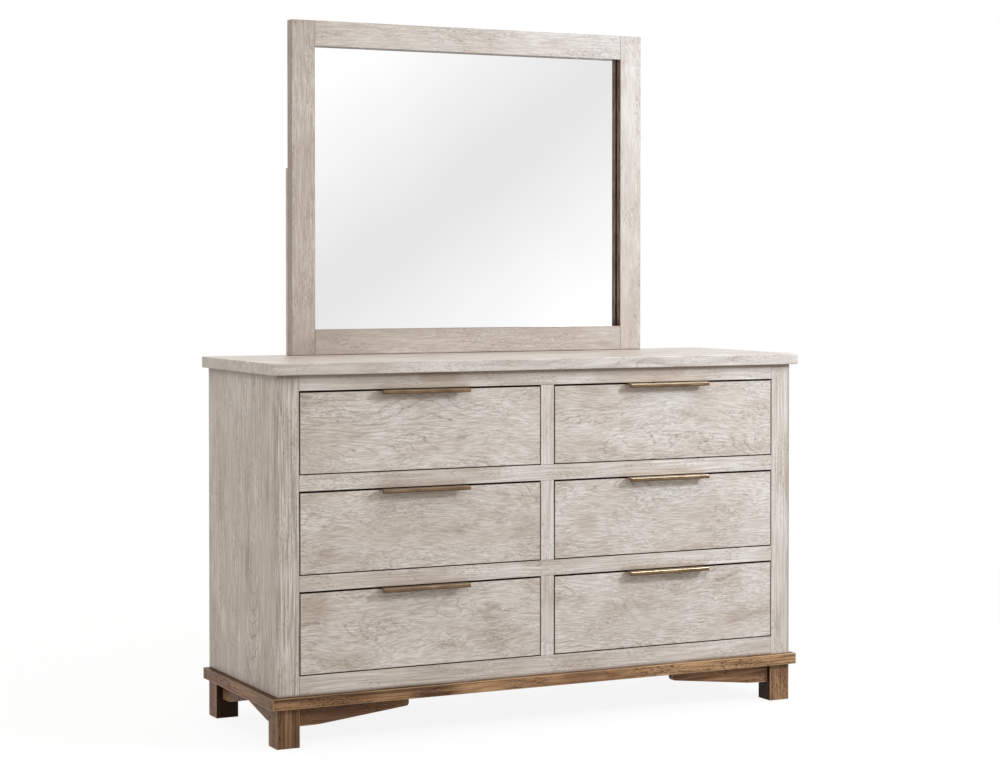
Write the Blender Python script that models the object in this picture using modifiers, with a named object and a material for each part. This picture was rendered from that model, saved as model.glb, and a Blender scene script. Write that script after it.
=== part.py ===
"""A six-drawer dresser with a framed mirror that stands on its top.

The case is a face frame on side panels, with three decks that carry two columns of inset drawers.
It stands on a mitred base moulding with four square legs and shaped brackets.
Each drawer is a front with a half-blind dovetailed box behind it and a brass edge pull on its top edge.

Metres, +Z up, the front faces -Y. The origin is on the floor, in the middle of the whole part.
Left and right are as seen by someone who stands in front of the dresser.
"""
import math

import bmesh
import bpy
from mathutils import Matrix, Vector

# Clearances
FIT_GAP = 0.0003
CUT_OVERRUN = 0.004
EDGE_ROUND = 0.001
SOFT_EDGE_ROUND = 0.002
FLUSH_EDGE_ROUND = 0.0004
SHARP_ANGLE = 40

# Case
CASE_WIDTH = 1.490
CASE_DEPTH = 0.5002
CASE_HEIGHT = 0.7906
SIDE_THICKNESS = 0.018
BACK_THICKNESS = 0.008
DECK_THICKNESS = 0.012
GUIDE_HEIGHT = 0.018
DIVIDER_THICKNESS = 0.018

# Top slab
TOP_THICKNESS = 0.029
TOP_SIDE_OVERHANG = 0.0167
TOP_FRONT_OVERHANG = 0.018
TOP_BACK_OVERHANG = 0.0055

# Face frame
FRAME_THICKNESS = 0.020
STILE_WIDTH = 0.0575
CENTRE_STILE_WIDTH = 0.038
TOP_RAIL_HEIGHT = 0.0395
MIDDLE_RAIL_HEIGHT = 0.0403
BOTTOM_RAIL_HEIGHT = 0.050

# Base moulding, legs and brackets
BASE_HEIGHT = 0.0284
BASE_BOARD_WIDTH = 0.075
BASE_SIDE_OVERHANG = 0.0166
BASE_FRONT_OVERHANG = 0.0118
LEG_HEIGHT = 0.0983
LEG_WIDTH = 0.0608
LEG_DEPTH = 0.0572
LEG_SIDE_OVERHANG = 0.0015
LEG_SETBACK = 0.002
BRACKET_THICKNESS = 0.020
BRACKET_DROP = 0.048
BRACKET_FLAT_LENGTH = 0.050
BRACKET_BEND_LENGTH = 0.020
BRACKET_CURVE_STEPS = 4
FRONT_BRACKET_LENGTH = 0.2995
FRONT_BRACKET_TIP_HEIGHT = 0.021
FRONT_BRACKET_TIP_RADIUS = 0.008
FRONT_BRACKET_SETBACK = 0.016
SIDE_BRACKET_TIP_HEIGHT = 0.0188
SIDE_BRACKET_TIP_RADIUS = 0.002
SIDE_BRACKET_SETBACK = 0.0164

# Drawers
DRAWER_ROW_NAMES = ("bottom", "middle", "top")
DRAWER_COLUMN_NAMES = ("left", "right")
DRAWER_TOP_GAP = 0.0042
DRAWER_SIDE_GAP = 0.0027
DRAWER_BOTTOM_GAP = 0.0023
DRAWER_FRONT_THICKNESS = 0.020
BOX_DEPTH = 0.420
BOX_HEIGHT = 0.160
BOX_WALL = 0.012
BOX_BACK_DROP = 0.010
BOX_BOTTOM_THICKNESS = 0.006
BOX_BOTTOM_RISE = 0.010
BOX_BOTTOM_TONGUE = 0.006
BOX_BOTTOM_LAP = 0.003
BOX_GROOVE_DEPTH = 0.006
BOX_BACK_INSET = 0.008
TAIL_COUNT = 4
TAIL_LENGTH = 0.012
TAIL_ROOT_SHARE = 0.55
TAIL_TIP_SHARE = 0.75

# Edge pulls
PULL_LENGTH = 0.2413
PULL_REACH = 0.027
PULL_SEAT_DEPTH = 0.016
PULL_THICKNESS = 0.002
PULL_LIP_HEIGHT = 0.010
PULL_BEND_RADIUS = 0.003
PULL_CORNER_ROUND = 0.0006
PULL_BEND_STEPS = 5

# Mirror
MIRROR_WIDTH = 1.064
MIRROR_HEIGHT = 0.8905
MIRROR_BACK_SETBACK = 0.0169
MIRROR_FRAME_THICKNESS = 0.033
MIRROR_STILE_WIDTH = 0.0657
MIRROR_TOP_RAIL_HEIGHT = 0.0671
MIRROR_BOTTOM_RAIL_HEIGHT = 0.0677
MIRROR_LIP_DEPTH = 0.0243
MIRROR_REBATE_WIDTH = 0.010
GLASS_THICKNESS = 0.004
BACKING_THICKNESS = 0.004
POST_WIDTH = 0.060
POST_THICKNESS = 0.0135
POST_HEIGHT = 0.4985

# Places that follow from the sizes
TOTAL_DEPTH = PULL_REACH + CASE_DEPTH + TOP_BACK_OVERHANG
FRONT_Y = PULL_REACH - TOTAL_DEPTH / 2
BACK_Y = FRONT_Y + CASE_DEPTH
FRAME_BACK_Y = FRONT_Y + FRAME_THICKNESS
BASE_TOP_Z = LEG_HEIGHT + BASE_HEIGHT
CASE_TOP_Z = BASE_TOP_Z + CASE_HEIGHT
TOP_Z = CASE_TOP_Z + TOP_THICKNESS
HALF_WIDTH = CASE_WIDTH / 2
LEG_OUTER_X = HALF_WIDTH + LEG_SIDE_OVERHANG
LEG_INNER_X = LEG_OUTER_X - LEG_WIDTH
ROW_COUNT = len(DRAWER_ROW_NAMES)
OPENING_WIDTH = (CASE_WIDTH - 2 * STILE_WIDTH - CENTRE_STILE_WIDTH) / 2
OPENING_HEIGHT = (
    CASE_HEIGHT - TOP_RAIL_HEIGHT - BOTTOM_RAIL_HEIGHT - (ROW_COUNT - 1) * MIDDLE_RAIL_HEIGHT
) / ROW_COUNT
ROW_PITCH = OPENING_HEIGHT + MIDDLE_RAIL_HEIGHT
FRONT_WIDTH = OPENING_WIDTH - 2 * DRAWER_SIDE_GAP
FRONT_HEIGHT = OPENING_HEIGHT - DRAWER_TOP_GAP - DRAWER_BOTTOM_GAP
BACK_PANEL_Y = BACK_Y - BACK_THICKNESS
MIRROR_BACK_Y = BACK_Y + TOP_BACK_OVERHANG - MIRROR_BACK_SETBACK - POST_THICKNESS - FIT_GAP
BOX_BACK_END = DRAWER_FRONT_THICKNESS + BOX_DEPTH

# Colours as linear red, green and blue, with roughness and metallic
FINISHES = {
    "whitewashed_wood": ((0.57, 0.515, 0.46), 0.55, 0.0),
    "brown_wood": ((0.17, 0.10, 0.065), 0.5, 0.0),
    "drawer_box_wood": ((0.62, 0.48, 0.32), 0.6, 0.0),
    "back_board": ((0.36, 0.27, 0.19), 0.7, 0.0),
    "brass": ((0.42, 0.29, 0.17), 0.35, 1.0),
    "mirror_silver": ((0.85, 0.86, 0.87), 0.03, 1.0),
}


def clear_scene():
    for item in list(bpy.data.objects):
        bpy.data.objects.remove(item, do_unlink=True)


def new_collection(name):
    made = bpy.data.collections.new(name)
    bpy.context.scene.collection.children.link(made)
    return made


clear_scene()
DRESSER = new_collection("dresser_with_mirror")
CUTTERS = new_collection("cutters")


def new_material(name, finish):
    colour, roughness, metallic = FINISHES[finish]
    material = bpy.data.materials.new(name)
    material.use_nodes = True
    shader = material.node_tree.nodes["Principled BSDF"]
    shader.inputs["Base Color"].default_value = (*colour, 1.0)
    shader.inputs["Roughness"].default_value = roughness
    shader.inputs["Metallic"].default_value = metallic
    return material


def box_mesh(name, low, high):
    """A box between two corners, as a mesh whose middle is its origin."""
    size = Vector(high) - Vector(low)
    work = bmesh.new()
    bmesh.ops.create_cube(work, size=1.0, matrix=Matrix.Diagonal((*size, 1.0)))
    mesh = bpy.data.meshes.new(name)
    work.to_mesh(mesh)
    work.free()
    return mesh


def add_piece(name, mesh, finish, place=(0, 0, 0)):
    piece = bpy.data.objects.new(name, mesh)
    piece.location = place
    DRESSER.objects.link(piece)
    mesh.materials.clear()
    mesh.materials.append(new_material(name, finish))
    return piece


def helper(name, mesh, place=(0, 0, 0)):
    """A hidden object that cuts or joins another piece."""
    item = bpy.data.objects.new(name, mesh)
    item.location = place
    item.hide_render = True
    item.display_type = "WIRE"
    CUTTERS.objects.link(item)
    return item


def box_helper(name, low, high):
    return helper(name, box_mesh(name, low, high), (Vector(low) + Vector(high)) / 2)


def ease_edges(piece, width=EDGE_ROUND, segments=1):
    bevel = piece.modifiers.new("eased edges", "BEVEL")
    bevel.width = width
    bevel.segments = segments
    bevel.limit_method = "ANGLE"
    return bevel


def cut(piece, cutter):
    boolean = piece.modifiers.new("cut " + cutter.name, "BOOLEAN")
    boolean.operation = "DIFFERENCE"
    boolean.solver = "EXACT"
    boolean.object = cutter
    return boolean


def board(name, low, high, finish="whitewashed_wood", width=EDGE_ROUND, segments=1):
    """A board with eased edges, between two corners."""
    middle = (Vector(low) + Vector(high)) / 2
    piece = add_piece(name, box_mesh(name, low, high), finish, middle)
    ease_edges(piece, width, segments)
    return piece


def baked_mesh(piece):
    """The piece's mesh with its modifiers applied, for copies to share."""
    graph = bpy.context.evaluated_depsgraph_get()
    return bpy.data.meshes.new_from_object(piece.evaluated_get(graph), depsgraph=graph)


def outline_mesh(name, points, thickness, turn):
    """A flat closed outline as a slab of one thickness, turned from its own plane by a matrix."""
    curve = bpy.data.curves.new(name, "CURVE")
    curve.dimensions = "2D"
    curve.fill_mode = "BOTH"
    curve.extrude = thickness / 2
    spline = curve.splines.new("POLY")
    spline.points.add(len(points) - 1)
    for target, (across, up) in zip(spline.points, points):
        target.co = (across, up, 0.0, 1.0)
    spline.use_cyclic_u = True
    holder = bpy.data.objects.new(name, curve)
    CUTTERS.objects.link(holder)
    mesh = baked_mesh(holder)
    bpy.data.objects.remove(holder, do_unlink=True)
    work = bmesh.new()
    work.from_mesh(mesh)
    bmesh.ops.remove_doubles(work, verts=work.verts, dist=FIT_GAP / 10)
    bmesh.ops.transform(work, matrix=turn, verts=work.verts)
    bmesh.ops.recalc_face_normals(work, faces=work.faces)
    work.to_mesh(mesh)
    work.free()
    return mesh


def arc(centre, radius, start, end, steps):
    """Points on a circle, between two angles in degrees."""
    across, up = centre
    angles = [math.radians(start + (end - start) * step / steps) for step in range(steps + 1)]
    return [(across + radius * math.cos(angle), up + radius * math.sin(angle)) for angle in angles]


STANDING_ALONG_X = Matrix.Rotation(math.radians(90), 4, "X")
STANDING_ALONG_Y = Matrix.Rotation(math.radians(90), 4, "Z") @ STANDING_ALONG_X
LYING_FLAT = Matrix.Identity(4)


def row_bottom(row):
    return BASE_TOP_Z + BOTTOM_RAIL_HEIGHT + row * ROW_PITCH


def column_middle(column):
    side = 2 * column - 1
    return side * (CENTRE_STILE_WIDTH + OPENING_WIDTH) / 2


def make_top():
    return board(
        "top_panel",
        (-HALF_WIDTH - TOP_SIDE_OVERHANG, FRONT_Y - TOP_FRONT_OVERHANG, CASE_TOP_Z),
        (HALF_WIDTH + TOP_SIDE_OVERHANG, BACK_Y + TOP_BACK_OVERHANG, TOP_Z),
        width=SOFT_EDGE_ROUND,
        segments=2,
    )


def make_sides():
    for name, side in (("left", -1), ("right", 1)):
        outer, inner = side * HALF_WIDTH, side * (HALF_WIDTH - SIDE_THICKNESS)
        board(
            "side_panel_" + name,
            (min(outer, inner), FRAME_BACK_Y + FIT_GAP, BASE_TOP_Z + FIT_GAP),
            (max(outer, inner), BACK_Y, CASE_TOP_Z - FIT_GAP),
        )


def make_face_frame():
    low_z, high_z = BASE_TOP_Z + FIT_GAP, CASE_TOP_Z - FIT_GAP
    inner = HALF_WIDTH - STILE_WIDTH
    rail_end = inner - FIT_GAP
    pieces = [
        ("front_stile_left", (-HALF_WIDTH, FRONT_Y, low_z), (-inner, FRAME_BACK_Y, high_z)),
        ("front_stile_right", (inner, FRONT_Y, low_z), (HALF_WIDTH, FRAME_BACK_Y, high_z)),
    ]
    rails = [("rail_bottom", low_z, row_bottom(0))]
    for row, name in ((1, "rail_lower"), (2, "rail_upper")):
        rails.append((name, row_bottom(row) - MIDDLE_RAIL_HEIGHT, row_bottom(row)))
    rails.append(("rail_top", CASE_TOP_Z - TOP_RAIL_HEIGHT, high_z))
    for name, low, high in rails:
        pieces.append((name, (-rail_end, FRONT_Y, low), (rail_end, FRAME_BACK_Y, high)))
    half = CENTRE_STILE_WIDTH / 2
    for row, name in enumerate(DRAWER_ROW_NAMES):
        low = row_bottom(row) + FIT_GAP
        high = row_bottom(row) + OPENING_HEIGHT - FIT_GAP
        pieces.append(("centre_stile_" + name, (-half, FRONT_Y, low), (half, FRAME_BACK_Y, high)))
    for name, corner, opposite in pieces:
        board(name, corner, opposite, width=FLUSH_EDGE_ROUND)


def make_deck(name, top_z):
    """A deck with the two side guides and the centre guide that keep the drawers straight."""
    half = HALF_WIDTH - SIDE_THICKNESS - FIT_GAP
    front, back = FRAME_BACK_Y + FIT_GAP, BACK_PANEL_Y - FIT_GAP
    low = (-half, front, top_z - DECK_THICKNESS)
    high = (half, back, top_z + GUIDE_HEIGHT)
    deck = add_piece(name, box_mesh(name, low, high), "drawer_box_wood", (Vector(low) + Vector(high)) / 2)
    for column, side in enumerate(DRAWER_COLUMN_NAMES):
        middle = column_middle(column)
        cutter = box_helper(
            name + "_lane_" + side,
            (middle - OPENING_WIDTH / 2, front - CUT_OVERRUN, top_z),
            (middle + OPENING_WIDTH / 2, back + CUT_OVERRUN, top_z + GUIDE_HEIGHT + CUT_OVERRUN),
        )
        cut(deck, cutter)
    return deck


def deck_top(row):
    return row_bottom(row) + DRAWER_BOTTOM_GAP - FIT_GAP


def make_case_inside():
    for row, name in ((0, "deck_floor"), (1, "deck_lower"), (2, "deck_upper")):
        make_deck(name, deck_top(row))
    half = DIVIDER_THICKNESS / 2
    front, back = FRAME_BACK_Y + FIT_GAP, BACK_PANEL_Y - FIT_GAP
    for row, name in enumerate(DRAWER_ROW_NAMES):
        low = deck_top(row) + GUIDE_HEIGHT + FIT_GAP
        last = row == ROW_COUNT - 1
        high = CASE_TOP_Z - FIT_GAP if last else deck_top(row + 1) - DECK_THICKNESS - FIT_GAP
        board("divider_" + name, (-half, front, low), (half, back, high), "drawer_box_wood")
    inner = HALF_WIDTH - SIDE_THICKNESS - FIT_GAP
    board(
        "back_panel",
        (-inner, BACK_PANEL_Y, BASE_TOP_Z + FIT_GAP),
        (inner, BACK_Y, CASE_TOP_Z - FIT_GAP),
        "back_board",
    )


def make_base():
    """Three moulding boards, mitred at the front corners, with a plain board across the back."""
    outer_x = HALF_WIDTH + BASE_SIDE_OVERHANG
    outer_y = FRONT_Y - BASE_FRONT_OVERHANG
    inner_x, inner_y = outer_x - BASE_BOARD_WIDTH, outer_y + BASE_BOARD_WIDTH
    middle_z = LEG_HEIGHT + BASE_HEIGHT / 2
    mitre = FIT_GAP / 2 * math.sqrt(2)
    outlines = {
        "base_moulding_front": [
            (-outer_x + mitre, outer_y),
            (outer_x - mitre, outer_y),
            (inner_x - mitre, inner_y),
            (-inner_x + mitre, inner_y),
        ],
    }
    for name, side in (("left", -1), ("right", 1)):
        outlines["base_moulding_" + name] = [
            (side * outer_x, outer_y + mitre),
            (side * outer_x, BACK_Y),
            (side * inner_x, BACK_Y),
            (side * inner_x, inner_y + mitre),
        ]
    for name, points in outlines.items():
        mesh = outline_mesh(name, points, BASE_HEIGHT, LYING_FLAT)
        ease_edges(add_piece(name, mesh, "brown_wood", (0, 0, middle_z)))
    rail_end = inner_x - FIT_GAP
    board(
        "base_rail_back",
        (-rail_end, BACK_Y - BASE_BOARD_WIDTH, LEG_HEIGHT),
        (rail_end, BACK_Y, BASE_TOP_Z),
        "brown_wood",
    )


def leg_corners(side_x, side_y):
    """Low and high corners of a leg: side_x is -1 on the left, side_y is -1 at the front."""
    outer_x, inner_x = side_x * LEG_OUTER_X, side_x * LEG_INNER_X
    if side_y < 0:
        low_y = FRONT_Y + LEG_SETBACK
    else:
        low_y = BACK_Y - LEG_SETBACK - LEG_DEPTH
    low = (min(outer_x, inner_x), low_y, 0)
    high = (max(outer_x, inner_x), low_y + LEG_DEPTH, LEG_HEIGHT - FIT_GAP)
    return low, high


def make_legs():
    for name_x, side_x in (("left", -1), ("right", 1)):
        for name_y, side_y in (("front", -1), ("back", 1)):
            low, high = leg_corners(side_x, side_y)
            board(f"leg_{name_y}_{name_x}", low, high, "brown_wood")


def bend_points(corner, reach, rise):
    """A soft bend from a level line into one that rises, both meeting at a corner on the level line."""
    points = []
    for step in range(BRACKET_CURVE_STEPS + 1):
        share = step / BRACKET_CURVE_STEPS
        across = corner - (1 - share) ** 2 * reach + share ** 2 * reach * math.cos(rise)
        points.append((across, share ** 2 * reach * math.sin(rise)))
    return points


def bracket_points(length, tip_height, tip_radius):
    """A bracket from its leg outwards: level, then a soft bend and a straight rise to a blunt, rounded tip.

    Across is the distance from the leg and up is the height above the bracket's lowest edge.
    """
    tip_low = BRACKET_DROP - tip_height
    rise = math.atan2(tip_low, length - BRACKET_FLAT_LENGTH)
    centre = (length - tip_radius, tip_low - tip_radius * math.tan(rise) + tip_radius / math.cos(rise))
    points = [(0, BRACKET_DROP - FIT_GAP), (0, 0)]
    points += bend_points(BRACKET_FLAT_LENGTH, BRACKET_BEND_LENGTH, rise)
    points += arc(centre, tip_radius, math.degrees(rise) - 90, 0, BRACKET_CURVE_STEPS)
    points += [(length, BRACKET_DROP - FIT_GAP)]
    return points


def add_bracket(name, points, place, turn):
    mesh = outline_mesh(name, points, BRACKET_THICKNESS, turn)
    return ease_edges(add_piece(name, mesh, "brown_wood", place), EDGE_ROUND, 1)


def make_brackets():
    foot_z = LEG_HEIGHT - BRACKET_DROP
    along_x, along_y = STANDING_ALONG_X, STANDING_ALONG_Y
    other_way_x = Matrix.Scale(-1, 4, (1, 0, 0)) @ along_x
    other_way_y = Matrix.Scale(-1, 4, (0, 1, 0)) @ along_y
    leg_inner_x = LEG_INNER_X - FIT_GAP
    front_middle_y = FRONT_Y + FRONT_BRACKET_SETBACK + BRACKET_THICKNESS / 2
    points = bracket_points(FRONT_BRACKET_LENGTH, FRONT_BRACKET_TIP_HEIGHT, FRONT_BRACKET_TIP_RADIUS)
    add_bracket("bracket_front_left", points, (-leg_inner_x, front_middle_y, foot_z), along_x)
    add_bracket("bracket_front_right", points, (leg_inner_x, front_middle_y, foot_z), other_way_x)
    front_leg_back_y = FRONT_Y + LEG_SETBACK + LEG_DEPTH + FIT_GAP
    back_leg_front_y = BACK_Y - LEG_SETBACK - LEG_DEPTH - FIT_GAP
    half_span = (back_leg_front_y - front_leg_back_y - FIT_GAP) / 2
    points = bracket_points(half_span, SIDE_BRACKET_TIP_HEIGHT, SIDE_BRACKET_TIP_RADIUS)
    for name, side in (("left", -1), ("right", 1)):
        middle_x = side * (HALF_WIDTH - SIDE_BRACKET_SETBACK - BRACKET_THICKNESS / 2)
        add_bracket(f"bracket_{name}_front", points, (middle_x, front_leg_back_y, foot_z), along_y)
        add_bracket(f"bracket_{name}_back", points, (middle_x, back_leg_front_y, foot_z), other_way_y)


def tail_corners(index, grow):
    """The corners of one dovetail tail, from its upper root round to its lower root.

    Across is the distance behind the front's face and up is the height above the drawer's lower edge.
    """
    pitch = BOX_HEIGHT / TAIL_COUNT
    middle = (2 * index + 1) * pitch / 2
    root = pitch * TAIL_ROOT_SHARE / 2 + grow
    tip = pitch * TAIL_TIP_SHARE / 2 + grow
    shoulder = DRAWER_FRONT_THICKNESS + FIT_GAP
    end = DRAWER_FRONT_THICKNESS - TAIL_LENGTH - grow
    return [(shoulder, middle + root), (end, middle + tip), (end, middle - tip), (shoulder, middle - root)]


def box_side_points():
    """A drawer side with its row of tails at the front end."""
    points = [(BOX_BACK_END, 0), (BOX_BACK_END, BOX_HEIGHT), (DRAWER_FRONT_THICKNESS + FIT_GAP, BOX_HEIGHT)]
    for index in reversed(range(TAIL_COUNT)):
        points += tail_corners(index, 0)
    points += [(DRAWER_FRONT_THICKNESS + FIT_GAP, 0)]
    return points


def shifted_mesh(mesh, offset):
    mesh.transform(Matrix.Translation(offset))
    return mesh


def join_meshes(name, meshes):
    work = bmesh.new()
    for mesh in meshes:
        work.from_mesh(mesh)
    joined = bpy.data.meshes.new(name)
    work.to_mesh(joined)
    work.free()
    return joined


def drawer_front_mesh():
    """The front with the sockets for the tails and the groove for the bottom in its back face."""
    low = (-FRONT_WIDTH / 2, 0, 0)
    high = (FRONT_WIDTH / 2, DRAWER_FRONT_THICKNESS, FRONT_HEIGHT)
    middle = (Vector(low) + Vector(high)) / 2
    front = helper("drawer_front_blank", shifted_mesh(box_mesh("drawer_front_blank", low, high), middle))
    ease_edges(front, EDGE_ROUND, 2)
    sockets = []
    width = BOX_WALL + FIT_GAP + CUT_OVERRUN
    for side in (-1, 1):
        middle_x = side * (FRONT_WIDTH / 2 - BOX_WALL - FIT_GAP + width / 2)
        for index in range(TAIL_COUNT):
            socket = outline_mesh("socket", tail_corners(index, FIT_GAP), width, STANDING_ALONG_Y)
            sockets.append(shifted_mesh(socket, (middle_x, 0, 0)))
    cut(front, helper("drawer_front_sockets", join_meshes("drawer_front_sockets", sockets)))
    half = FRONT_WIDTH / 2 - BOX_WALL + BOX_GROOVE_DEPTH + FIT_GAP
    groove = box_helper(
        "drawer_front_groove",
        (-half, DRAWER_FRONT_THICKNESS - BOX_BOTTOM_TONGUE - FIT_GAP, BOX_BOTTOM_RISE - FIT_GAP),
        (half, DRAWER_FRONT_THICKNESS + CUT_OVERRUN, BOX_BOTTOM_RISE + BOX_BOTTOM_THICKNESS + FIT_GAP),
    )
    cut(front, groove)
    return baked_mesh(front)


def drawer_box_mesh():
    """Two dovetailed sides and a back, joined by the bottom that runs in their grooves."""
    half = FRONT_WIDTH / 2 - BOX_WALL + BOX_GROOVE_DEPTH
    back_y = BOX_BACK_END - BOX_BACK_INSET
    low = (-half, DRAWER_FRONT_THICKNESS - BOX_BOTTOM_TONGUE, BOX_BOTTOM_RISE)
    high = (half, back_y + BOX_BOTTOM_LAP, BOX_BOTTOM_RISE + BOX_BOTTOM_THICKNESS)
    middle = (Vector(low) + Vector(high)) / 2
    bottom = helper("drawer_box_bottom", shifted_mesh(box_mesh("drawer_box_bottom", low, high), middle))
    parts = []
    for name, side in (("left", -1), ("right", 1)):
        mesh = outline_mesh("drawer_box_side_" + name, box_side_points(), BOX_WALL, STANDING_ALONG_Y)
        parts.append(helper("drawer_box_side_" + name, mesh, (side * (FRONT_WIDTH - BOX_WALL) / 2, 0, 0)))
    parts.append(
        box_helper(
            "drawer_box_back",
            (-half, back_y - BOX_WALL, BOX_BOTTOM_RISE + BOX_BOTTOM_THICKNESS / 2),
            (half, back_y, BOX_HEIGHT - BOX_BACK_DROP),
        )
    )
    for part in parts:
        cut(bottom, part).operation = "UNION"
    return baked_mesh(bottom)


def pull_mesh():
    """An edge pull: a plate on the front's top edge, bent down in front into a lip."""
    low = FRONT_HEIGHT + FIT_GAP
    high = low + PULL_THICKNESS
    lip_low = high - PULL_LIP_HEIGHT
    bend_centre = (PULL_BEND_RADIUS - PULL_REACH, high - PULL_BEND_RADIUS)
    points = [(PULL_SEAT_DEPTH, low)]
    points += arc(bend_centre, PULL_BEND_RADIUS - PULL_THICKNESS, 90, 180, PULL_BEND_STEPS)
    points += [(PULL_THICKNESS - PULL_REACH, lip_low), (-PULL_REACH, lip_low)]
    points += arc(bend_centre, PULL_BEND_RADIUS, 180, 90, PULL_BEND_STEPS)
    points += [(PULL_SEAT_DEPTH, high)]
    name = "drawer_pull_blank"
    blank = helper(name, outline_mesh(name, points, PULL_LENGTH, STANDING_ALONG_Y))
    ease_edges(blank, PULL_CORNER_ROUND, 1)
    return baked_mesh(blank)


def make_drawers():
    """Each drawer hangs on an empty at its front's lower edge, which slides along -Y."""
    kinds = (
        ("drawer_front_", drawer_front_mesh(), "whitewashed_wood"),
        ("drawer_box_", drawer_box_mesh(), "drawer_box_wood"),
        ("drawer_pull_", pull_mesh(), "brass"),
    )
    for row, row_name in enumerate(DRAWER_ROW_NAMES):
        for column, column_name in enumerate(DRAWER_COLUMN_NAMES):
            place = f"{row_name}_{column_name}"
            slider = bpy.data.objects.new("drawer_" + place, None)
            slider.location = (column_middle(column), FRONT_Y, row_bottom(row) + DRAWER_BOTTOM_GAP)
            DRESSER.objects.link(slider)
            for kind, mesh, finish in kinds:
                add_piece(kind + place, mesh.copy(), finish).parent = slider
    for _, mesh, _ in kinds:
        bpy.data.meshes.remove(mesh)


def make_mirror():
    """A frame with butted rails, its glass and backing in a rebate, and two posts behind it."""
    half = MIRROR_WIDTH / 2
    inner = half - MIRROR_STILE_WIDTH
    front, back = MIRROR_BACK_Y - MIRROR_FRAME_THICKNESS, MIRROR_BACK_Y
    low = TOP_Z + FIT_GAP
    high = low + MIRROR_HEIGHT
    glass_low, glass_high = low + MIRROR_BOTTOM_RAIL_HEIGHT, high - MIRROR_TOP_RAIL_HEIGHT
    rebate_half = inner + MIRROR_REBATE_WIDTH
    rebate_low, rebate_high = glass_low - MIRROR_REBATE_WIDTH, glass_high + MIRROR_REBATE_WIDTH
    rebate = box_helper(
        "mirror_rebate",
        (-rebate_half, front + MIRROR_LIP_DEPTH, rebate_low),
        (rebate_half, back + CUT_OVERRUN, rebate_high),
    )
    rail_end = inner - FIT_GAP
    pieces = [
        ("mirror_stile_left", (-half, front, low), (-inner, back, high)),
        ("mirror_stile_right", (inner, front, low), (half, back, high)),
        ("mirror_rail_bottom", (-rail_end, front, low), (rail_end, back, glass_low)),
        ("mirror_rail_top", (-rail_end, front, glass_high), (rail_end, back, high)),
    ]
    for name, corner, opposite in pieces:
        cut(board(name, corner, opposite, width=FLUSH_EDGE_ROUND), rebate)
    sheet_half, sheet_low, sheet_high = rebate_half - FIT_GAP, rebate_low + FIT_GAP, rebate_high - FIT_GAP
    glass_front = front + MIRROR_LIP_DEPTH + FIT_GAP
    backing_front = glass_front + GLASS_THICKNESS + FIT_GAP
    sheets = (
        ("mirror_glass", glass_front, GLASS_THICKNESS, "mirror_silver"),
        ("mirror_backing", backing_front, BACKING_THICKNESS, "back_board"),
    )
    for name, sheet_front, thickness, finish in sheets:
        corner = (-sheet_half, sheet_front, sheet_low)
        opposite = (sheet_half, sheet_front + thickness, sheet_high)
        middle = (Vector(corner) + Vector(opposite)) / 2
        add_piece(name, box_mesh(name, corner, opposite), finish, middle)
    post_front = back + FIT_GAP
    for name, outer, edge in (("left", -half, POST_WIDTH - half), ("right", half - POST_WIDTH, half)):
        board(
            "mirror_post_" + name,
            (outer, post_front, low),
            (edge, post_front + POST_THICKNESS, low + POST_HEIGHT),
        )


def shade_pieces():
    """Bends and rounded edges are smooth, and real corners stay sharp."""
    for piece in DRESSER.objects:
        if piece.type == "MESH":
            piece.data.shade_smooth()
            piece.data.set_sharp_from_angle(angle=math.radians(SHARP_ANGLE))


make_top()
make_sides()
make_face_frame()
make_case_inside()
make_base()
make_legs()
make_brackets()
make_drawers()
make_mirror()
shade_pieces()
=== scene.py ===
# %% [markdown]
# # A whitewashed dresser with a framed mirror
#
# The object is a wide six-drawer dresser. Its case is limed, pale wood under a thin brown glaze, its base
# is stained brown, its pulls are brushed brass and a framed mirror stands on its top.
#
# All its boards come from a CAD model, which is loaded as a fixed frame. This script gives each board its
# grain and finish, adds the small hardware, and sets up the camera and the light.

import math
import random

import bmesh
import bpy
from mathutils import Matrix, Vector


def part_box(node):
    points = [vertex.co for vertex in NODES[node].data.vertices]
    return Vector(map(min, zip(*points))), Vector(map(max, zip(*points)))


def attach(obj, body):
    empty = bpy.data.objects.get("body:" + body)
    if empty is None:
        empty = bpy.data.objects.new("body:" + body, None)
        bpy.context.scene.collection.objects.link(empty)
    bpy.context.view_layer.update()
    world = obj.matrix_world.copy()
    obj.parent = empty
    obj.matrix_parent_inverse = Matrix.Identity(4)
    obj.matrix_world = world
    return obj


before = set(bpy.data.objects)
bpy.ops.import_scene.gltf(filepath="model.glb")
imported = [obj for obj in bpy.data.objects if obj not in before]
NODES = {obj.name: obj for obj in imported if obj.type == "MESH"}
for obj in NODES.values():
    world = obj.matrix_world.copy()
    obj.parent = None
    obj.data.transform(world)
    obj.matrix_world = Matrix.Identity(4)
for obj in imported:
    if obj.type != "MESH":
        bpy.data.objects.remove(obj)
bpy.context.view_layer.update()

# %% [markdown]
# ## Helpers for every material
#
# Blender's shaders want linear light, while a colour picker gives sRGB hex values, so one function turns
# the one into the other. Another adds a node, applies its settings and fills its sockets, with a number, a
# colour or a link from another node. A node tree then reads like a list of steps.
#
# Map Range is the node that is used most, to turn one range of values into another. Its inputs have long
# names, so a small function writes them out.

# %% Colour and node helpers
def linear(hex_colour):
    """An sRGB hex colour as linear red, green, blue and alpha."""
    parts = [int(hex_colour[start:start + 2], 16) / 255 for start in (1, 3, 5)]
    return [part / 12.92 if part <= 0.04045 else ((part + 0.055) / 1.055) ** 2.4 for part in parts] + [1.0]


def first_output(node):
    """The first output of a node that is in use."""
    return next(socket for socket in node.outputs if socket.enabled)


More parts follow.
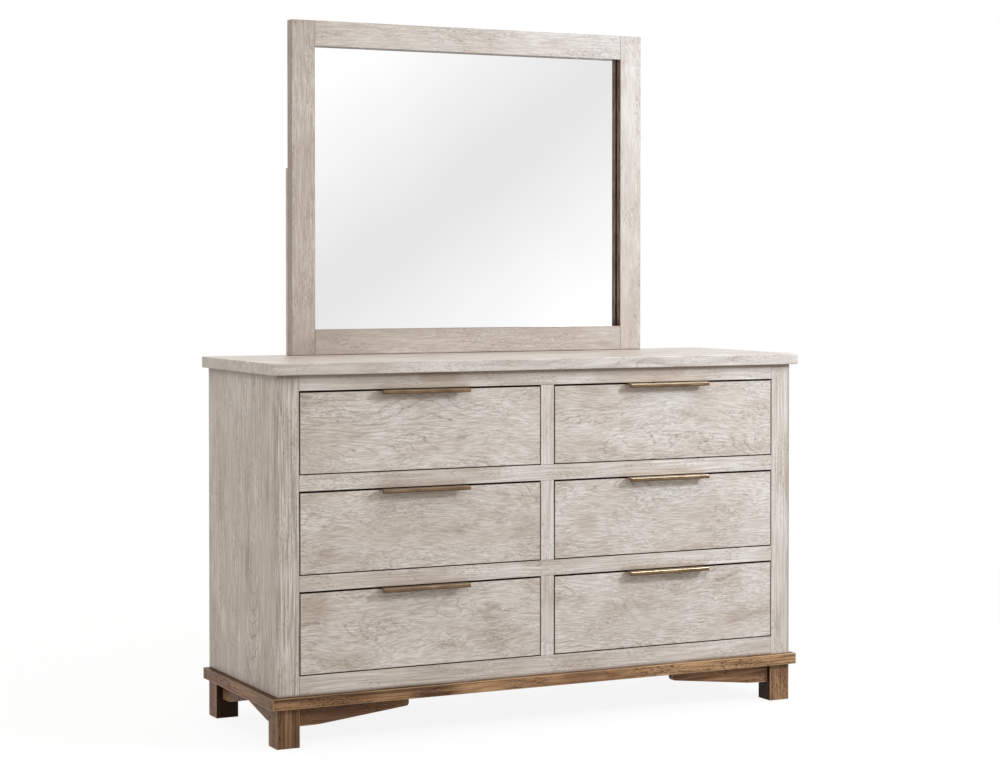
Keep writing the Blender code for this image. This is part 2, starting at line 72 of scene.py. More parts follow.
def fill(tree, node, inputs):
    """Fills a node's inputs, given in order or by name, with values, colours, sockets or other nodes."""
    for key, value in inputs.items() if isinstance(inputs, dict) else enumerate(inputs):
        if isinstance(key, int):
            socket = node.inputs[key]
        else:
            socket = next(one for one in node.inputs if one.name == key and one.enabled)
        if isinstance(value, bpy.types.Node):
            value = first_output(value)
        if isinstance(value, bpy.types.NodeSocket):
            tree.links.new(value, socket)
        else:
            socket.default_value = linear(value) if isinstance(value, str) else value


def add_node(tree, kind, inputs=(), stops=(), **settings):
    """Adds a node. A kind without Node in its name is a shader node, and stops are those of a colour ramp."""
    made = tree.nodes.new(kind if "Node" in kind else "ShaderNode" + kind)
    for key, value in settings.items():
        setattr(made, key, value)
    fill(tree, made, inputs)
    for index, (place, colour) in enumerate(stops):
        elements = made.color_ramp.elements
        element = elements[index] if index < 2 else elements.new(place)
        element.position = place
        element.color = linear(colour)
    return made


def mapped(value, start, end, least=0.0, most=1.0):
    """The inputs of a Map Range node: start becomes least and end becomes most."""
    return {"Value": value, "From Min": start, "From Max": end, "To Min": least, "To Max": most}


def strongest(tree, shares):
    """The largest of several shares at each point."""
    most = shares[0]
    for share in shares[1:]:
        most = add_node(tree, "Math", (most, share), operation="MAXIMUM")
    return most


def ray_share(tree, *kinds):
    """One for light paths of these kinds, and zero for others."""
    path = add_node(tree, "LightPath")
    return strongest(tree, [path.outputs[f"Is {kind} Ray"] for kind in kinds])


def new_material(name):
    """A new material, with its node tree and its shader."""
    material = bpy.data.materials.new(name)
    material.use_nodes = True
    return material, material.node_tree, material.node_tree.nodes["Principled BSDF"]


print("white is", linear("#FFFFFF")[:3])

# %% [markdown]
# ## Camera
#
# The photograph was taken with a long lens from the left of the dresser's middle, at about the height of
# its top. The camera is level to about a degree and its frame is shifted down instead, which keeps the
# uprights nearly parallel, as an architectural lens does.

# %% Camera
CAMERA_PLACE = (-2.7542, -5.4766, 1.1828)
CAMERA_YAW = 26.55
CAMERA_PITCH = -1.088
CAMERA_LENS = 82.512
CAMERA_SHIFT = -0.0744

camera_data = bpy.data.cameras.new("camera")
camera_data.lens = CAMERA_LENS
camera_data.shift_y = CAMERA_SHIFT
camera = bpy.data.objects.new("camera", camera_data)
camera.location = CAMERA_PLACE
camera.rotation_euler = (math.radians(90 + CAMERA_PITCH), 0, math.radians(-CAMERA_YAW))
bpy.context.scene.collection.objects.link(camera)
bpy.context.scene.camera = camera
bpy.context.scene.view_settings.view_transform = "Standard"
print("camera at", CAMERA_PLACE)

# %% [markdown]
# ## Floor
#
# The studio's floor is white and has no horizon. A very large white plane would need a lot of light to look
# white, and that light would wash out the dresser. So the floor is a disc, and what the camera and the
# mirror see of it is plain white with a small share of real shadow, which fades to nothing away from the
# dresser. The light that the floor throws back comes from a pale grey surface.

# %% Floor
MILLIMETRE = 0.001
FLOOR_RADIUS = 6.0
FLOOR_CORNERS = 96
FLOOR_DROP = 0.1 * MILLIMETRE
FLOOR_FADE_START = 1.2
FLOOR_FADE_END = 3.6
SHADOW_SHARE = 0.11


def floor_material():
    """Matt white with a share of shadow near the dresser."""
    material, tree, _ = new_material("studio_floor_matt_white")
    tree.nodes.clear()
    place = add_node(tree, "TexCoord").outputs["Object"]
    distance = add_node(tree, "VectorMath", (place,), operation="LENGTH")
    share = add_node(tree, "MapRange", mapped(distance, FLOOR_FADE_START, FLOOR_FADE_END, SHADOW_SHARE, 0.0),
                     interpolation_type="SMOOTHSTEP")
    bounce = add_node(tree, "BsdfDiffuse", {"Color": "#AAAAAA"})
    shaded = add_node(tree, "BsdfDiffuse", {"Color": "#FCFCFC"})
    white = add_node(tree, "Emission", {"Color": "#FFFFFF", "Strength": 1.0})
    faded = add_node(tree, "MixShader", (share, white, shaded))
    seen = ray_share(tree, "Camera", "Glossy", "Transmission")
    mixed = add_node(tree, "MixShader", (seen, bounce, faded))
    add_node(tree, "OutputMaterial", {"Surface": mixed})
    return material


floor_mesh = bpy.data.meshes.new("floor")
work = bmesh.new()
bmesh.ops.create_circle(work, cap_ends=True, segments=FLOOR_CORNERS, radius=FLOOR_RADIUS)
work.to_mesh(floor_mesh)
work.free()
floor_mesh.materials.append(floor_material())
floor = bpy.data.objects.new("floor", floor_mesh)
floor.location = (0, 0, -FLOOR_DROP)
bpy.context.scene.collection.objects.link(floor)
print("floor radius", FLOOR_RADIUS)

# %% [markdown]
# ## Key lamp
#
# One square lamp stands to the right, in front and above. It draws the shadows under the slab and the
# pulls, and it is slightly blue beside the warm fill of the world. In the mirror it would show as a hard
# white square, so light linking leaves the mirror out.

# %% Key lamp
LAMP_PLACE = Vector((1.75, -2.05, 1.90))
LAMP_TARGET = Vector((0.1, 0.0, 0.9))
LAMP_SIZE = 0.42
LAMP_POWER = 51.0
LAMP_TINT = "#E3EFFF"

lamp_data = bpy.data.lights.new("key_lamp", "AREA")
lamp_data.shape = "SQUARE"
lamp_data.size = LAMP_SIZE
lamp_data.energy = LAMP_POWER
lamp_data.color = linear(LAMP_TINT)[:3]
lamp = bpy.data.objects.new("key_lamp", lamp_data)
lamp.location = LAMP_PLACE
lamp.rotation_euler = (LAMP_PLACE - LAMP_TARGET).to_track_quat("Z", "Y").to_euler()
bpy.context.scene.collection.objects.link(lamp)
unlit = bpy.data.collections.new("not_lit_by_key_lamp")
unlit.objects.link(NODES["mirror_glass"])
lamp.light_linking.receiver_collection = unlit
unlit.collection_objects[0].light_linking.link_state = "EXCLUDE"
print("lamp at", [round(x, 2) for x in lamp.location])

# %% [markdown]
# ## World
#
# The world is what light meets when it leaves the scene. The camera sees pure white, and diffuse light
# comes from a warm fill that is stronger overhead.
#
# A mirror shows whatever stands opposite it. Here that is a pale studio with one soft grey fold of shade
# across it, so rays that come off glossy surfaces see a world with such a fold. It is the distance of a
# direction from a plane, and adding a small square under the root rounds its middle.

# %% World
WORLD_AT_HORIZON = 0.67
WORLD_OVERHEAD = 1.24
WORLD_TINT = "#FFFAF4"
FOLD_NORMAL = (9.114, 8.036, -14.675)
FOLD_OFFSET = 3.791
FOLD_SOFTNESS = 0.143
FOLD_REACH = 1.5
FOLD_DARK = 0.816
FOLD_LIGHT = 1.064

world = bpy.data.worlds.new("white_studio")
bpy.context.scene.world = world
world.use_nodes = True
tree = world.node_tree
tree.nodes.clear()
direction = add_node(tree, "TexCoord").outputs["Generated"]
fold = add_node(tree, "VectorMath", (direction, FOLD_NORMAL), operation="DOT_PRODUCT")
fold = add_node(tree, "Math", (fold, FOLD_OFFSET), operation="ADD")
fold = add_node(tree, "Math", (fold, fold, FOLD_SOFTNESS ** 2), operation="MULTIPLY_ADD")
fold = add_node(tree, "Math", (fold,), operation="SQRT")
fold = add_node(tree, "MapRange", mapped(fold, FOLD_SOFTNESS, FOLD_REACH, FOLD_DARK, FOLD_LIGHT))
height = add_node(tree, "SeparateXYZ", (direction,)).outputs["Z"]
fill_light = add_node(tree, "MapRange", mapped(height, 0.0, 1.0, WORLD_AT_HORIZON, WORLD_OVERHEAD))
glossy = ray_share(tree, "Glossy", "Transmission")
level = add_node(tree, "Mix", {"Factor": glossy, "A": fill_light, "B": fold})
level = add_node(tree, "Mix", {"Factor": ray_share(tree, "Camera"), "A": level, "B": 1.0})
seen = ray_share(tree, "Glossy", "Transmission", "Camera")
tint = add_node(tree, "Mix", {"Factor": seen, "A": WORLD_TINT, "B": "#FFFFFF"}, data_type="RGBA")
sky = add_node(tree, "Background", {"Color": tint, "Strength": level})
add_node(tree, "OutputWorld", {"Surface": sky})
print("nodes in the world:", len(tree.nodes))

# %% [markdown]
# ## Each board in its own coordinates
#
# Wood grain runs along a board, and no two boards show the same part of a tree. Each board therefore gets a
# Mapping node that moves the board's middle to zero and turns it, so that x runs along the grain, y across
# the face and z out of it. Random numbers with a fixed seed then say where in its tree each board was sawn.

# %% Board coordinates
AXES = {"x": Vector((1, 0, 0)), "y": Vector((0, 1, 0)), "z": Vector((0, 0, 1)), "-y": Vector((0, -1, 0))}
SEED = 20
dice = random.Random(SEED)


def board_frame(node, grain, face):
    """The middle, turn and half size of a board whose grain and face point along the named axes."""
    low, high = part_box(node)
    along, out = AXES[grain], AXES[face]
    across = out.cross(along)
    turned = Matrix((along, across, out)).transposed()
    half = (high - low) / 2
    sizes = Vector([abs(half.dot(axis)) for axis in (along, across, out)])
    return (low + high) / 2, turned.to_euler(), sizes


def board_nodes(tree, node, grain, face):
    """A point in board coordinates, and the board's half size."""
    middle, turned, sizes = board_frame(node, grain, face)
    place = add_node(tree, "TexCoord").outputs["Object"]
    inputs = {"Vector": place, "Location": middle, "Rotation": turned}
    return add_node(tree, "Mapping", inputs, vector_type="TEXTURE"), sizes


front_size = board_frame("drawer_front_top_left", "x", "-y")[2]
print("half size of the top left front:", [round(size, 3) for size in front_size])

# %% [markdown]
# ## The figure of the wood
#
# A tree is a stack of cones, so its rings are circles round a heart line. A board sawn beside the heart
# shows them as straight lines at its sides and as nested arches in its middle. An image of wood would stop
# at the edges of a board. A node group that measures each point's distance from a tilted heart line runs on
# round them, as the figure of a solid board does.
#
# Slow noise bends that distance, a few small knots push the rings aside, and ripples and curls roughen
# them. How much of this a board has is its wildness: a straight rail has little, a drawer front a lot.
#
# Rings are 3 to 6 mm apart in such wood. They are drawn 6 to 10 mm apart here, because a pixel of the
# photograph is about 2.7 mm of the dresser and closer lines would melt into grey.

# %% Distance from the heart
RING_SPACING = 6.5 * MILLIMETRE
# Swells of each noise in a metre: along the grain, across it and through the board.
SWAY_SWELLS = (2.4, 6.0, 6.0)  # 420 by 170 mm
KNOT_CELLS = (2.6, 6.0, 6.0)  # a knot in each 380 by 170 mm
RIPPLE_SWELLS = (7.0, 40.0, 40.0)  # 140 by 25 mm
CURL_SWELLS = (45.0, 110.0, 110.0)  # 22 by 9 mm
# How far each moves the rings, in metres. A knot's push fades with the square of the distance.
SWAY_REACH = (0.0, 0.10, 0.10)
KNOT_PUSH = -0.05
KNOT_FADE = -9.0
RIPPLE_PUSH = 0.006
CURL_PUSH = 0.0035
NOISE_MIDDLE = (0.5, 0.5, 0.5)
FIGURE_INPUTS = [("Point", "Vector"), ("Half", "Vector"), ("Heart", "Vector"), ("Shift", "Vector"),
                 ("Spacing", "Float"), ("Wildness", "Float"), ("Thread", "Vector")]


def new_group(name, inputs, outputs):
    """An empty shader group with its sockets, as tree, input node and output node."""
    group = bpy.data.node_groups.new(name, "ShaderNodeTree")
    for direction, sockets in (("INPUT", inputs), ("OUTPUT", outputs)):
        for label, kind in sockets:
            group.interface.new_socket(name=label, in_out=direction, socket_type="NodeSocket" + kind)
    return group, add_node(group, "NodeGroupInput"), add_node(group, "NodeGroupOutput")


def stretched_noise(group, at, swells, detail=2.0, roughness=0.5):
    """Noise that is longer along the grain than across it."""
    scaled = add_node(group, "VectorMath", (at, swells), operation="MULTIPLY")
    inputs = {"Vector": scaled, "Scale": 1.0, "Detail": detail, "Roughness": roughness}
    return add_node(group, "TexNoise", inputs)


def heart_distance(group, given, place):
    """A point bent by the sway of its tree, and its distance from the tree's heart."""
    point, wildness = given.outputs["Point"], given.outputs["Wildness"]
    sway = stretched_noise(group, place, SWAY_SWELLS).outputs["Color"]
    sway = add_node(group, "VectorMath", (sway, NOISE_MIDDLE), operation="SUBTRACT")
    sway = add_node(group, "VectorMath", (sway, SWAY_REACH), operation="MULTIPLY")
    sway = add_node(group, "VectorMath", {0: sway, "Scale": wildness}, operation="SCALE")
    bent = add_node(group, "VectorMath", (point, sway), operation="ADD")
    at = add_node(group, "SeparateXYZ", (bent,)).outputs
    heart = add_node(group, "SeparateXYZ", (given.outputs["Heart"],)).outputs
    across = add_node(group, "Math", (at["Y"], heart["Y"]), operation="SUBTRACT")
    depth = add_node(group, "Math", (at["X"], heart["X"], at["Z"]), operation="MULTIPLY_ADD")
    depth = add_node(group, "Math", (depth, heart["Z"]), operation="ADD")
    flat = add_node(group, "CombineXYZ", {"Y": across, "Z": depth})
    radius = add_node(group, "VectorMath", (flat,), operation="LENGTH")

    cells = add_node(group, "VectorMath", (place, sway), operation="ADD")
    cells = add_node(group, "VectorMath", (cells, KNOT_CELLS), operation="MULTIPLY")
    knot = add_node(group, "TexVoronoi", {"Vector": cells, "Scale": 1.0}).outputs["Distance"]
    knot = add_node(group, "Math", (knot, knot), operation="MULTIPLY")
    knot = add_node(group, "Math", (knot, KNOT_FADE), operation="MULTIPLY")
    knot = add_node(group, "Math", (knot,), operation="EXPONENT")
    knot = add_node(group, "Math", (knot, wildness), operation="MULTIPLY")
    ripple = stretched_noise(group, place, RIPPLE_SWELLS)
    curl = stretched_noise(group, place, CURL_SWELLS, detail=1.0)
    curl = add_node(group, "Math", (curl, wildness), operation="MULTIPLY")
    for bend, push in ((knot, KNOT_PUSH), (ripple, RIPPLE_PUSH), (curl, CURL_PUSH)):
        radius = add_node(group, "Math", (bend, push, radius), operation="MULTIPLY_ADD")
    return bent, radius


print("ring spacing", round(RING_SPACING / MILLIMETRE, 1), "mm")

# %% [markdown]
# ## Rings, fibres, streaks and pores
#
# In each ring the late wood darkens slowly and ends sharply, so a ring line is the product of a slow rise
# and a quick fall. It shows in patches and is broken by fibres, as if drawn with a worn pencil.
#
# Everything else is noise, stretched along the grain and cut softly to a range. It is drawn on the bent
# point, so that fibres and pores follow the rings. Real pores are a quarter of a millimetre wide and real
# fibres less. Both are drawn 1 to 3 mm wide here, the finest that the photograph's pixels can show.

# %% Layers of the wood
RING_LINE = [(0.74, 0.87, 0.0, 1.0), (0.87, 0.95, 1.0, 0.0)]
# For each layer: the point it is drawn on, its swells in a metre, detail and roughness, where its range
# starts and ends, and what these become. The fibres' swells are the board's own.
LAYERS = {
    "ring_patch": ("place", (3.2, 11.0, 11.0), 2.0, 0.5, 0.4, 0.62, 0.06, 1.0),  # 310 by 90 mm
    "ring_break": ("bent", (26.0, 120.0, 120.0), 2.0, 0.5, 0.36, 0.6, 0.55, 1.0),  # 38 by 8 mm
    "fibre": ("moved", None, 2.0, 0.6, 0.34, 0.66),
    "streak": ("moved", (4.0, 90.0, 90.0), 3.0, 0.6, 0.48, 0.68),  # 250 by 11 mm
    "pore": ("moved", (90.0, 380.0, 380.0), 1.0, 0.5, 0.5, 0.66),  # 11 by 2.6 mm
    "pore_patch": ("place", (8.0, 22.0, 22.0), 2.0, 0.5, 0.42, 0.6, 0.1, 1.0),  # 125 by 45 mm
    "patina": ("moved", (5.0, 14.0, 14.0), 5.0, 0.68, 0.5, 0.74),  # 200 by 71 mm
}
BLOTCH = ((4.0, 9.0, 9.0), 4.0, 0.6)  # 250 by 110 mm, with its detail and roughness


def edge_distance(group, given):
    """How far a point on a board's face is from the board's nearest edge."""
    gaps = add_node(group, "VectorMath", (given.outputs["Point"],), operation="ABSOLUTE")
    gaps = add_node(group, "VectorMath", (given.outputs["Half"], gaps), operation="SUBTRACT")
    along, across, through = add_node(group, "SeparateXYZ", (gaps,)).outputs
    found = {}
    for operation in ("MINIMUM", "MAXIMUM", "ADD"):
        pair = add_node(group, "Math", (along, across), operation=operation)
        found[operation] = add_node(group, "Math", (pair, through), operation=operation)
    middle = add_node(group, "Math", (found["ADD"], found["MINIMUM"]), operation="SUBTRACT")
    return add_node(group, "Math", (middle, found["MAXIMUM"]), operation="SUBTRACT")


def wood_figure_group():
    """The group that measures a board's wood, the same for every finish."""
    outputs = [(label, "Float") for label in ("ring", "fibre", "streak", "pore", "blotch", "patina", "edge")]
    group, given, result = new_group("wood_figure", FIGURE_INPUTS, outputs)
    shift = given.outputs["Shift"]
    place = add_node(group, "VectorMath", (given.outputs["Point"], shift), operation="ADD")
    bent, radius = heart_distance(group, given, place)
    moved = add_node(group, "VectorMath", (bent, shift), operation="ADD")
    points = {"place": place, "bent": bent, "moved": moved}
    layers = {}
    for label, (at, swells, detail, roughness, *limits) in LAYERS.items():
        noise = stretched_noise(group, points[at], swells or given.outputs["Thread"], detail, roughness)
        layers[label] = add_node(group, "MapRange", mapped(noise, *limits), interpolation_type="SMOOTHSTEP")

    phase = add_node(group, "Math", (radius, given.outputs["Spacing"]), operation="DIVIDE")
    phase = add_node(group, "Math", (phase,), operation="FRACT")
    ring = add_node(group, "Math", (layers.pop("ring_patch"), layers.pop("ring_break")), operation="MULTIPLY")
    for limits in RING_LINE:
        line = add_node(group, "MapRange", mapped(phase, *limits), interpolation_type="SMOOTHSTEP")
        ring = add_node(group, "Math", (ring, line), operation="MULTIPLY")
    patch = layers.pop("pore_patch")
    layers["pore"] = add_node(group, "Math", (layers["pore"], patch), operation="MULTIPLY")
    blotch = stretched_noise(group, place, *BLOTCH)
    fill(group, result, {**layers, "ring": ring, "blotch": blotch, "edge": edge_distance(group, given)})
    return group


WOOD_FIGURE = wood_figure_group()
print("nodes in the wood figure:", len(WOOD_FIGURE.nodes))

# %% [markdown]
# ## Four finishes
#
# A finish decides what the figure looks like. Limed wood is a pale, warm grey with a brown glaze that stays
# in its pores, in ring lines and along edges. Brown stain is dark where the wood is open and rubbed pale
# along edges. Drawer boxes are plain lacquered maple, and the thin boards at the back are pressed from wood
# fibre.
#
# A brown glaze was wiped over the limed wood, and it stays thick where a cloth can't reach: round the
# Round the drawers, under the slab, inside the mirror's frame and on hidden faces of the base, the wood is
# darkened: a little by brown glaze left in the joints, and mostly by painted shade where light doesn't reach.
# Up to a strength of 1 this tints the wood brown, and from 1 to 2 a nearly black, matt painted shade grows
# over it.
# The four groups do the same with other colours and strengths, so one function builds them from a table.

# %% Colours and strengths of the finishes
FINISHES = {
    "limed": {
        "title": "limed_lacquered_wood",
        "ground": [(0.28, "#C2B6AA"), (0.46, "#D1C7BC"), (0.62, "#DBD3CA"), (0.78, "#E2DBD3")],
        "colours": {"patina": "#9C846B", "streak": "#E7E0D8", "fibre": "#8E7C6A", "ring": "#7E6A57",
                    "pore": "#7A6756", "edge": "#836F5D", "pooled": "#55351C", "painted_black_shade": "#1E130B"},
        "strengths": {"patina": 0.42, "streak": 0.22, "fibre": 0.6, "ring": 0.62, "pore": 0.4, "edge": 0.18},
        "edge_width": 2.0 * MILLIMETRE,
        "roughness": (0.38, 0.56),
        "shine": 0.3,
    },
    "stained": {
        "title": "brown_stained_wood",
        "ground": [(0.25, "#684B36"), (0.42, "#815F46"), (0.58, "#9F7756"), (0.75, "#BE966E")],
        "colours": {"patina": "#4A3322", "streak": "#BE966D", "fibre": "#40291B", "ring": "#3A2618",
                    "pore": "#2A1B11", "edge": "#C9A67C", "pooled": "#2F1D12", "painted_black_shade": "#1E120B"},
        "strengths": {"patina": 0.35, "streak": 0.5, "fibre": 0.75, "ring": 0.7, "pore": 0.7, "edge": 0.85},
        "edge_width": 2.6 * MILLIMETRE,
        "roughness": (0.38, 0.55),
        "shine": 0.12,
    },
    "maple": {
        "title": "lacquered_maple",
        "ground": [(0.25, "#CDB083"), (0.5, "#D9BF95"), (0.75, "#E2CBA4")],
        "colours": {"patina": "#BF9C6C", "streak": "#E8D4B0", "fibre": "#C4A475", "ring": "#B8935F",
                    "pore": "#A98556", "edge": "#B79A6E", "pooled": "#7A5F3C", "painted_black_shade": "#5E4529"},
        "strengths": {"patina": 0.2, "streak": 0.3, "fibre": 0.35, "ring": 0.35, "pore": 0.3, "edge": 0.3},
        "edge_width": 2.0 * MILLIMETRE,
        "roughness": (0.42, 0.6),
        "shine": 0.3,
    },
    "pressed": {
        "title": "pressed_wood_fibreboard",
        "ground": [(0.3, "#7D6046"), (0.5, "#8B6C50"), (0.7, "#99795B")],
        "colours": {"patina": "#6C5039", "streak": "#A48565", "fibre": "#60462F", "ring": "#60462F",
                    "pore": "#4C3624", "edge": "#6B5038", "pooled": "#4C3624", "painted_black_shade": "#36261A"},
        "strengths": {"patina": 0.3, "streak": 0.25, "fibre": 0.35, "ring": 0.0, "pore": 0.55, "edge": 0.4},
        "edge_width": 1.5 * MILLIMETRE,
        "roughness": (0.5, 0.68),
        "shine": 0.3,
    },
}
BLACK_SHADE_ROUGHNESS = 0.95
print("finishes:", ", ".join(FINISHES))

# %% [markdown]
# ## One group for each finish
#
# The ground colour comes from slow blotches through a colour ramp, and a board's tone moves it a little up
# or down. The layers lie over it one after the other, each mixed in by its own share. Contrast weakens or
# strengthens a board's fibres and streaks, and Drawn does the same for its ring lines.
#
# Open grain is rougher than the lacquer between it and lies a little lower, so the same layers also make
# the roughness and the height.

# %% Finish groups
EDGE_CORE = 0.2 * MILLIMETRE
EDGE_PATCHES = (0.3, 0.65, 0.35)
GLAZE_AND_SHADE_BY_FIBRE = (0.0, 1.0, 1.1, 0.6)
BLACK_SHADE_START = 1.0
FULL_GRAIN = 0.8
FIBRE_DEPTH = -0.3


def finish_group(name):
    """The group that turns the wood's figure into one finish."""
    recipe = FINISHES[name]
    strengths = recipe["strengths"]
    labels = ("Contrast", "Drawn", "Tone", "GlazeAndShade", "StainAndShade")
    group, given, result = new_group(
        "finish_" + name,
        FIGURE_INPUTS + [(label, "Float") for label in labels],
        [("Color", "Color"), ("Roughness", "Float"), ("Height", "Float")],
    )
    inputs = {label: given.outputs[label] for label, kind in FIGURE_INPUTS}
    figure = add_node(group, "Group", inputs, node_tree=WOOD_FIGURE).outputs
    shares = {}
    for layer in ("patina", "streak", "fibre", "ring", "pore"):
        shares[layer] = add_node(group, "Math", (figure[layer], strengths[layer]), operation="MULTIPLY")
    for layer, label in (("streak", "Contrast"), ("fibre", "Contrast"), ("ring", "Drawn")):
        shares[layer] = add_node(group, "Math", (shares[layer], given.outputs[label]), operation="MULTIPLY")
    # The spots by the pulls take the patina's colour; on the fronts below the pulls this is painted shade.
    shares["patina"] = strongest(group, [shares["patina"], given.outputs["StainAndShade"]])
    rubbed = mapped(figure["edge"], EDGE_CORE, recipe["edge_width"], strengths["edge"], 0.0)
    near = add_node(group, "MapRange", rubbed, interpolation_type="SMOOTHSTEP")
    uneven = add_node(group, "MapRange", mapped(figure["blotch"], *EDGE_PATCHES))
    shares["edge"] = add_node(group, "Math", (near, uneven), operation="MULTIPLY")
    broken_by_fibre = add_node(group, "MapRange", mapped(figure["fibre"], *GLAZE_AND_SHADE_BY_FIBRE))
    shares["pooled"] = add_node(group, "Math", (given.outputs["GlazeAndShade"], broken_by_fibre), operation="MULTIPLY")
    # From 1 to 2 the strength lays a nearly black, matt painted shade over the wood, which makes the gaps
    # look dark.
    shares["painted_black_shade"] = add_node(group, "Math", (given.outputs["GlazeAndShade"], BLACK_SHADE_START), operation="SUBTRACT")

    toned = add_node(group, "Math", (figure["blotch"], given.outputs["Tone"]), operation="ADD")
    colour = add_node(group, "ValToRGB", (toned,), stops=recipe["ground"])
    for layer, shade in recipe["colours"].items():
        colour = add_node(group, "Mix", {"Factor": shares[layer], "A": colour, "B": shade}, data_type="RGBA")
    open_grain = add_node(group, "Math", (shares["ring"], shares["pore"]), operation="ADD")
    roughness = add_node(group, "MapRange", mapped(open_grain, 0.0, FULL_GRAIN, *recipe["roughness"]))
    roughness = add_node(group, "Mix", {"Factor": shares["painted_black_shade"], "A": roughness, "B": BLACK_SHADE_ROUGHNESS})
    height = add_node(group, "Math", (open_grain, -1.0), operation="MULTIPLY")
    height = add_node(group, "Math", (figure["fibre"], FIBRE_DEPTH, height), operation="MULTIPLY_ADD")
    fill(group, result, {"Color": colour, "Roughness": roughness, "Height": height})
    return group


FINISH_GROUPS = {name: finish_group(name) for name in FINISHES}
print("finish groups:", sorted(FINISH_GROUPS))

# %% [markdown]
# ## Painted shade and glaze at known planes
#
# Dark lines round the drawers and soft dark bands under the slab are mostly painted shade, with a little
# brown glaze in the joints. Painting them by hand would need a texture for each board. Each of them lies at a
# known plane instead: a side of the board itself, or of the board that meets it. So the mark is a strength
# at that plane, which fades over a width in millimetres.

# %% Painted shade and glaze
PLANE_CORE = 0.1
FACE_WIDTH = 0.5
# For each board, by how its name starts: a side, a width in millimetres and a strength. Two more values
# name another node whose side is meant, and the one face of the board that takes the mark there.
# Most of these are painted shade: the faces in the gaps round the drawers, the bands under the slab, the foot
# of the stiles and rails above the base, the mirror's reveal and the hidden faces of the legs. A few thin
# lines are brown glaze in joints, and the broad bands at the mirror's lower left, the sides' foot and the
# base's top faces make the wood darker there.
GLAZE_AND_PAINTED_SHADE = {
    "top_panel": [("-y", 0.5, 0.15), ("-x", 0.5, 0.19), ("+x", 0.5, 0.19)],
    "drawer_front": [("-x", 0.5, 1.4), ("+x", 0.5, 0.5), ("-z", 0.5, 1.6), ("+z", 0.8, 1.5)],
    "rail_top": [("+z", 24.0, 0.6), ("-z", 0.5, 2.0)],
    "rail_upper": [("-z", 0.5, 2.0), ("+z", 0.3, 1.6)],
    "rail_lower": [("-z", 0.5, 2.0), ("+z", 0.3, 1.6)],
    "rail_bottom": [("+z", 0.3, 1.6), ("-z", 9.0, 0.9)],
    "centre_stile": [("-x", 0.3, 0.4), ("+x", 0.3, 1.6)],
    "front_stile_left": [("+x", 0.3, 1.6), ("+z", 24.0, 0.6), ("-z", 7.0, 0.8)],
    "front_stile_right": [("-x", 0.3, 0.2), ("+x", 12.0, 0.42), ("+z", 24.0, 0.6), ("-z", 4.0, 0.7)],
    "side_panel": [("+z", 20.0, 0.5), ("-z", 5.0, 0.7), ("-z", 150.0, 0.2)],
    "mirror_stile_left": [("-z", 200.0, 0.34), ("-x", 0.5, 0.44), ("+x", 0.25, 0.5), ("-z", 3.5, 1.0),
                          ("-y", 5.0, 1.2, "mirror_glass", "+x")],
    "mirror_stile_right": [("+x", 0.5, 0.35), ("-x", 0.25, 1.0), ("-z", 3.5, 1.0),
                           ("-z", 200.0, 2.0, "mirror_stile_right", "-x"),
                           ("-y", 11.0, 2.3, "mirror_glass", "-x")],
    "mirror_rail_top": [("+x", 260.0, 0.14), ("-z", 0.25, 0.9), ("-y", 5.0, 1.2, "mirror_glass", "-z")],
    "mirror_rail_bottom": [("-x", 260.0, 0.3), ("+x", 120.0, 0.18), ("+z", 30.0, 0.2), ("+z", 1.2, 0.6),
                           ("-z", 3.5, 1.0), ("-y", 5.0, 1.2, "mirror_glass", "+z")],
    "base_moulding_left": [("+z", 0.5, 0.75), ("+y", 50.0, 0.5)],
    "base_moulding_right": [("+z", 0.5, 0.75)],
    "leg_back": [("-y", 0.5, 1.3)],
    "leg_front_right": [("-x", 0.5, 1.25)],
}


def near_plane(tree, at, node, side, width, strength):
    """The strength at one side of a node's box, fading to zero over a width in millimetres."""
    low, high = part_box(node)
    axis = "xyz".index(side[1])
    plane = high[axis] if side[0] == "+" else low[axis]
    gap = add_node(tree, "Math", (at[axis], plane), operation="SUBTRACT")
    gap = add_node(tree, "Math", (gap,), operation="ABSOLUTE")
    return add_node(tree, "MapRange", mapped(gap, PLANE_CORE * MILLIMETRE, width * MILLIMETRE, strength, 0.0))


def near_planes(tree, node, planes):
    """How strong a mark a point of a board has, from a list of planes as in the table above."""
    place = add_node(tree, "TexCoord").outputs["Object"]
    at = add_node(tree, "SeparateXYZ", (place,)).outputs
    shares = []
    for side, width, strength, *other in planes:
        share = near_plane(tree, at, other[0] if other else node, side, width, strength)
        if other:
            on_face = near_plane(tree, at, node, other[1], FACE_WIDTH, 1.0)
            share = add_node(tree, "Math", (share, on_face), operation="MULTIPLY")
        shares.append(share)
    return strongest(tree, shares)


print("boards with pooled glaze:", sum(node.startswith(tuple(GLAZE_AND_PAINTED_SHADE)) for node in NODES))

# %% [markdown]
# ## Brown spots and painted shade by the pulls
#
# The rail above each pull and, on the upper drawers, the front below it are browner. On the fronts this is
# painted shade, the warm shadow that each pull throws down and to the left, so every spot is shifted a little
# to the left; on the rails it is a brown patch. A few boards also have a dark patch of their own. Each patch
# is a short level line, and the colour fades with the distance from it.

# %% Brown spots and painted shade by the pulls
DRAWERS = [f"{row}_{column}" for row in ("top", "middle", "bottom") for column in ("left", "right")]
SPOT_REACH = 36 * MILLIMETRE
SPOT_LEFT_SHIFT = 5 * MILLIMETRE
SPOT_CORE = 6 * MILLIMETRE
# For each row of drawers: the rail above it, the share of brown on the rail, and the share of painted shade
# on the fronts below the pulls.
PULL_STAIN_AND_SHADE = {
    "top": ("rail_top", 0.55, 0.25),
    "middle": ("rail_upper", 0.46, 0.07),
    "bottom": ("rail_lower", 0.65, 0.0),
}
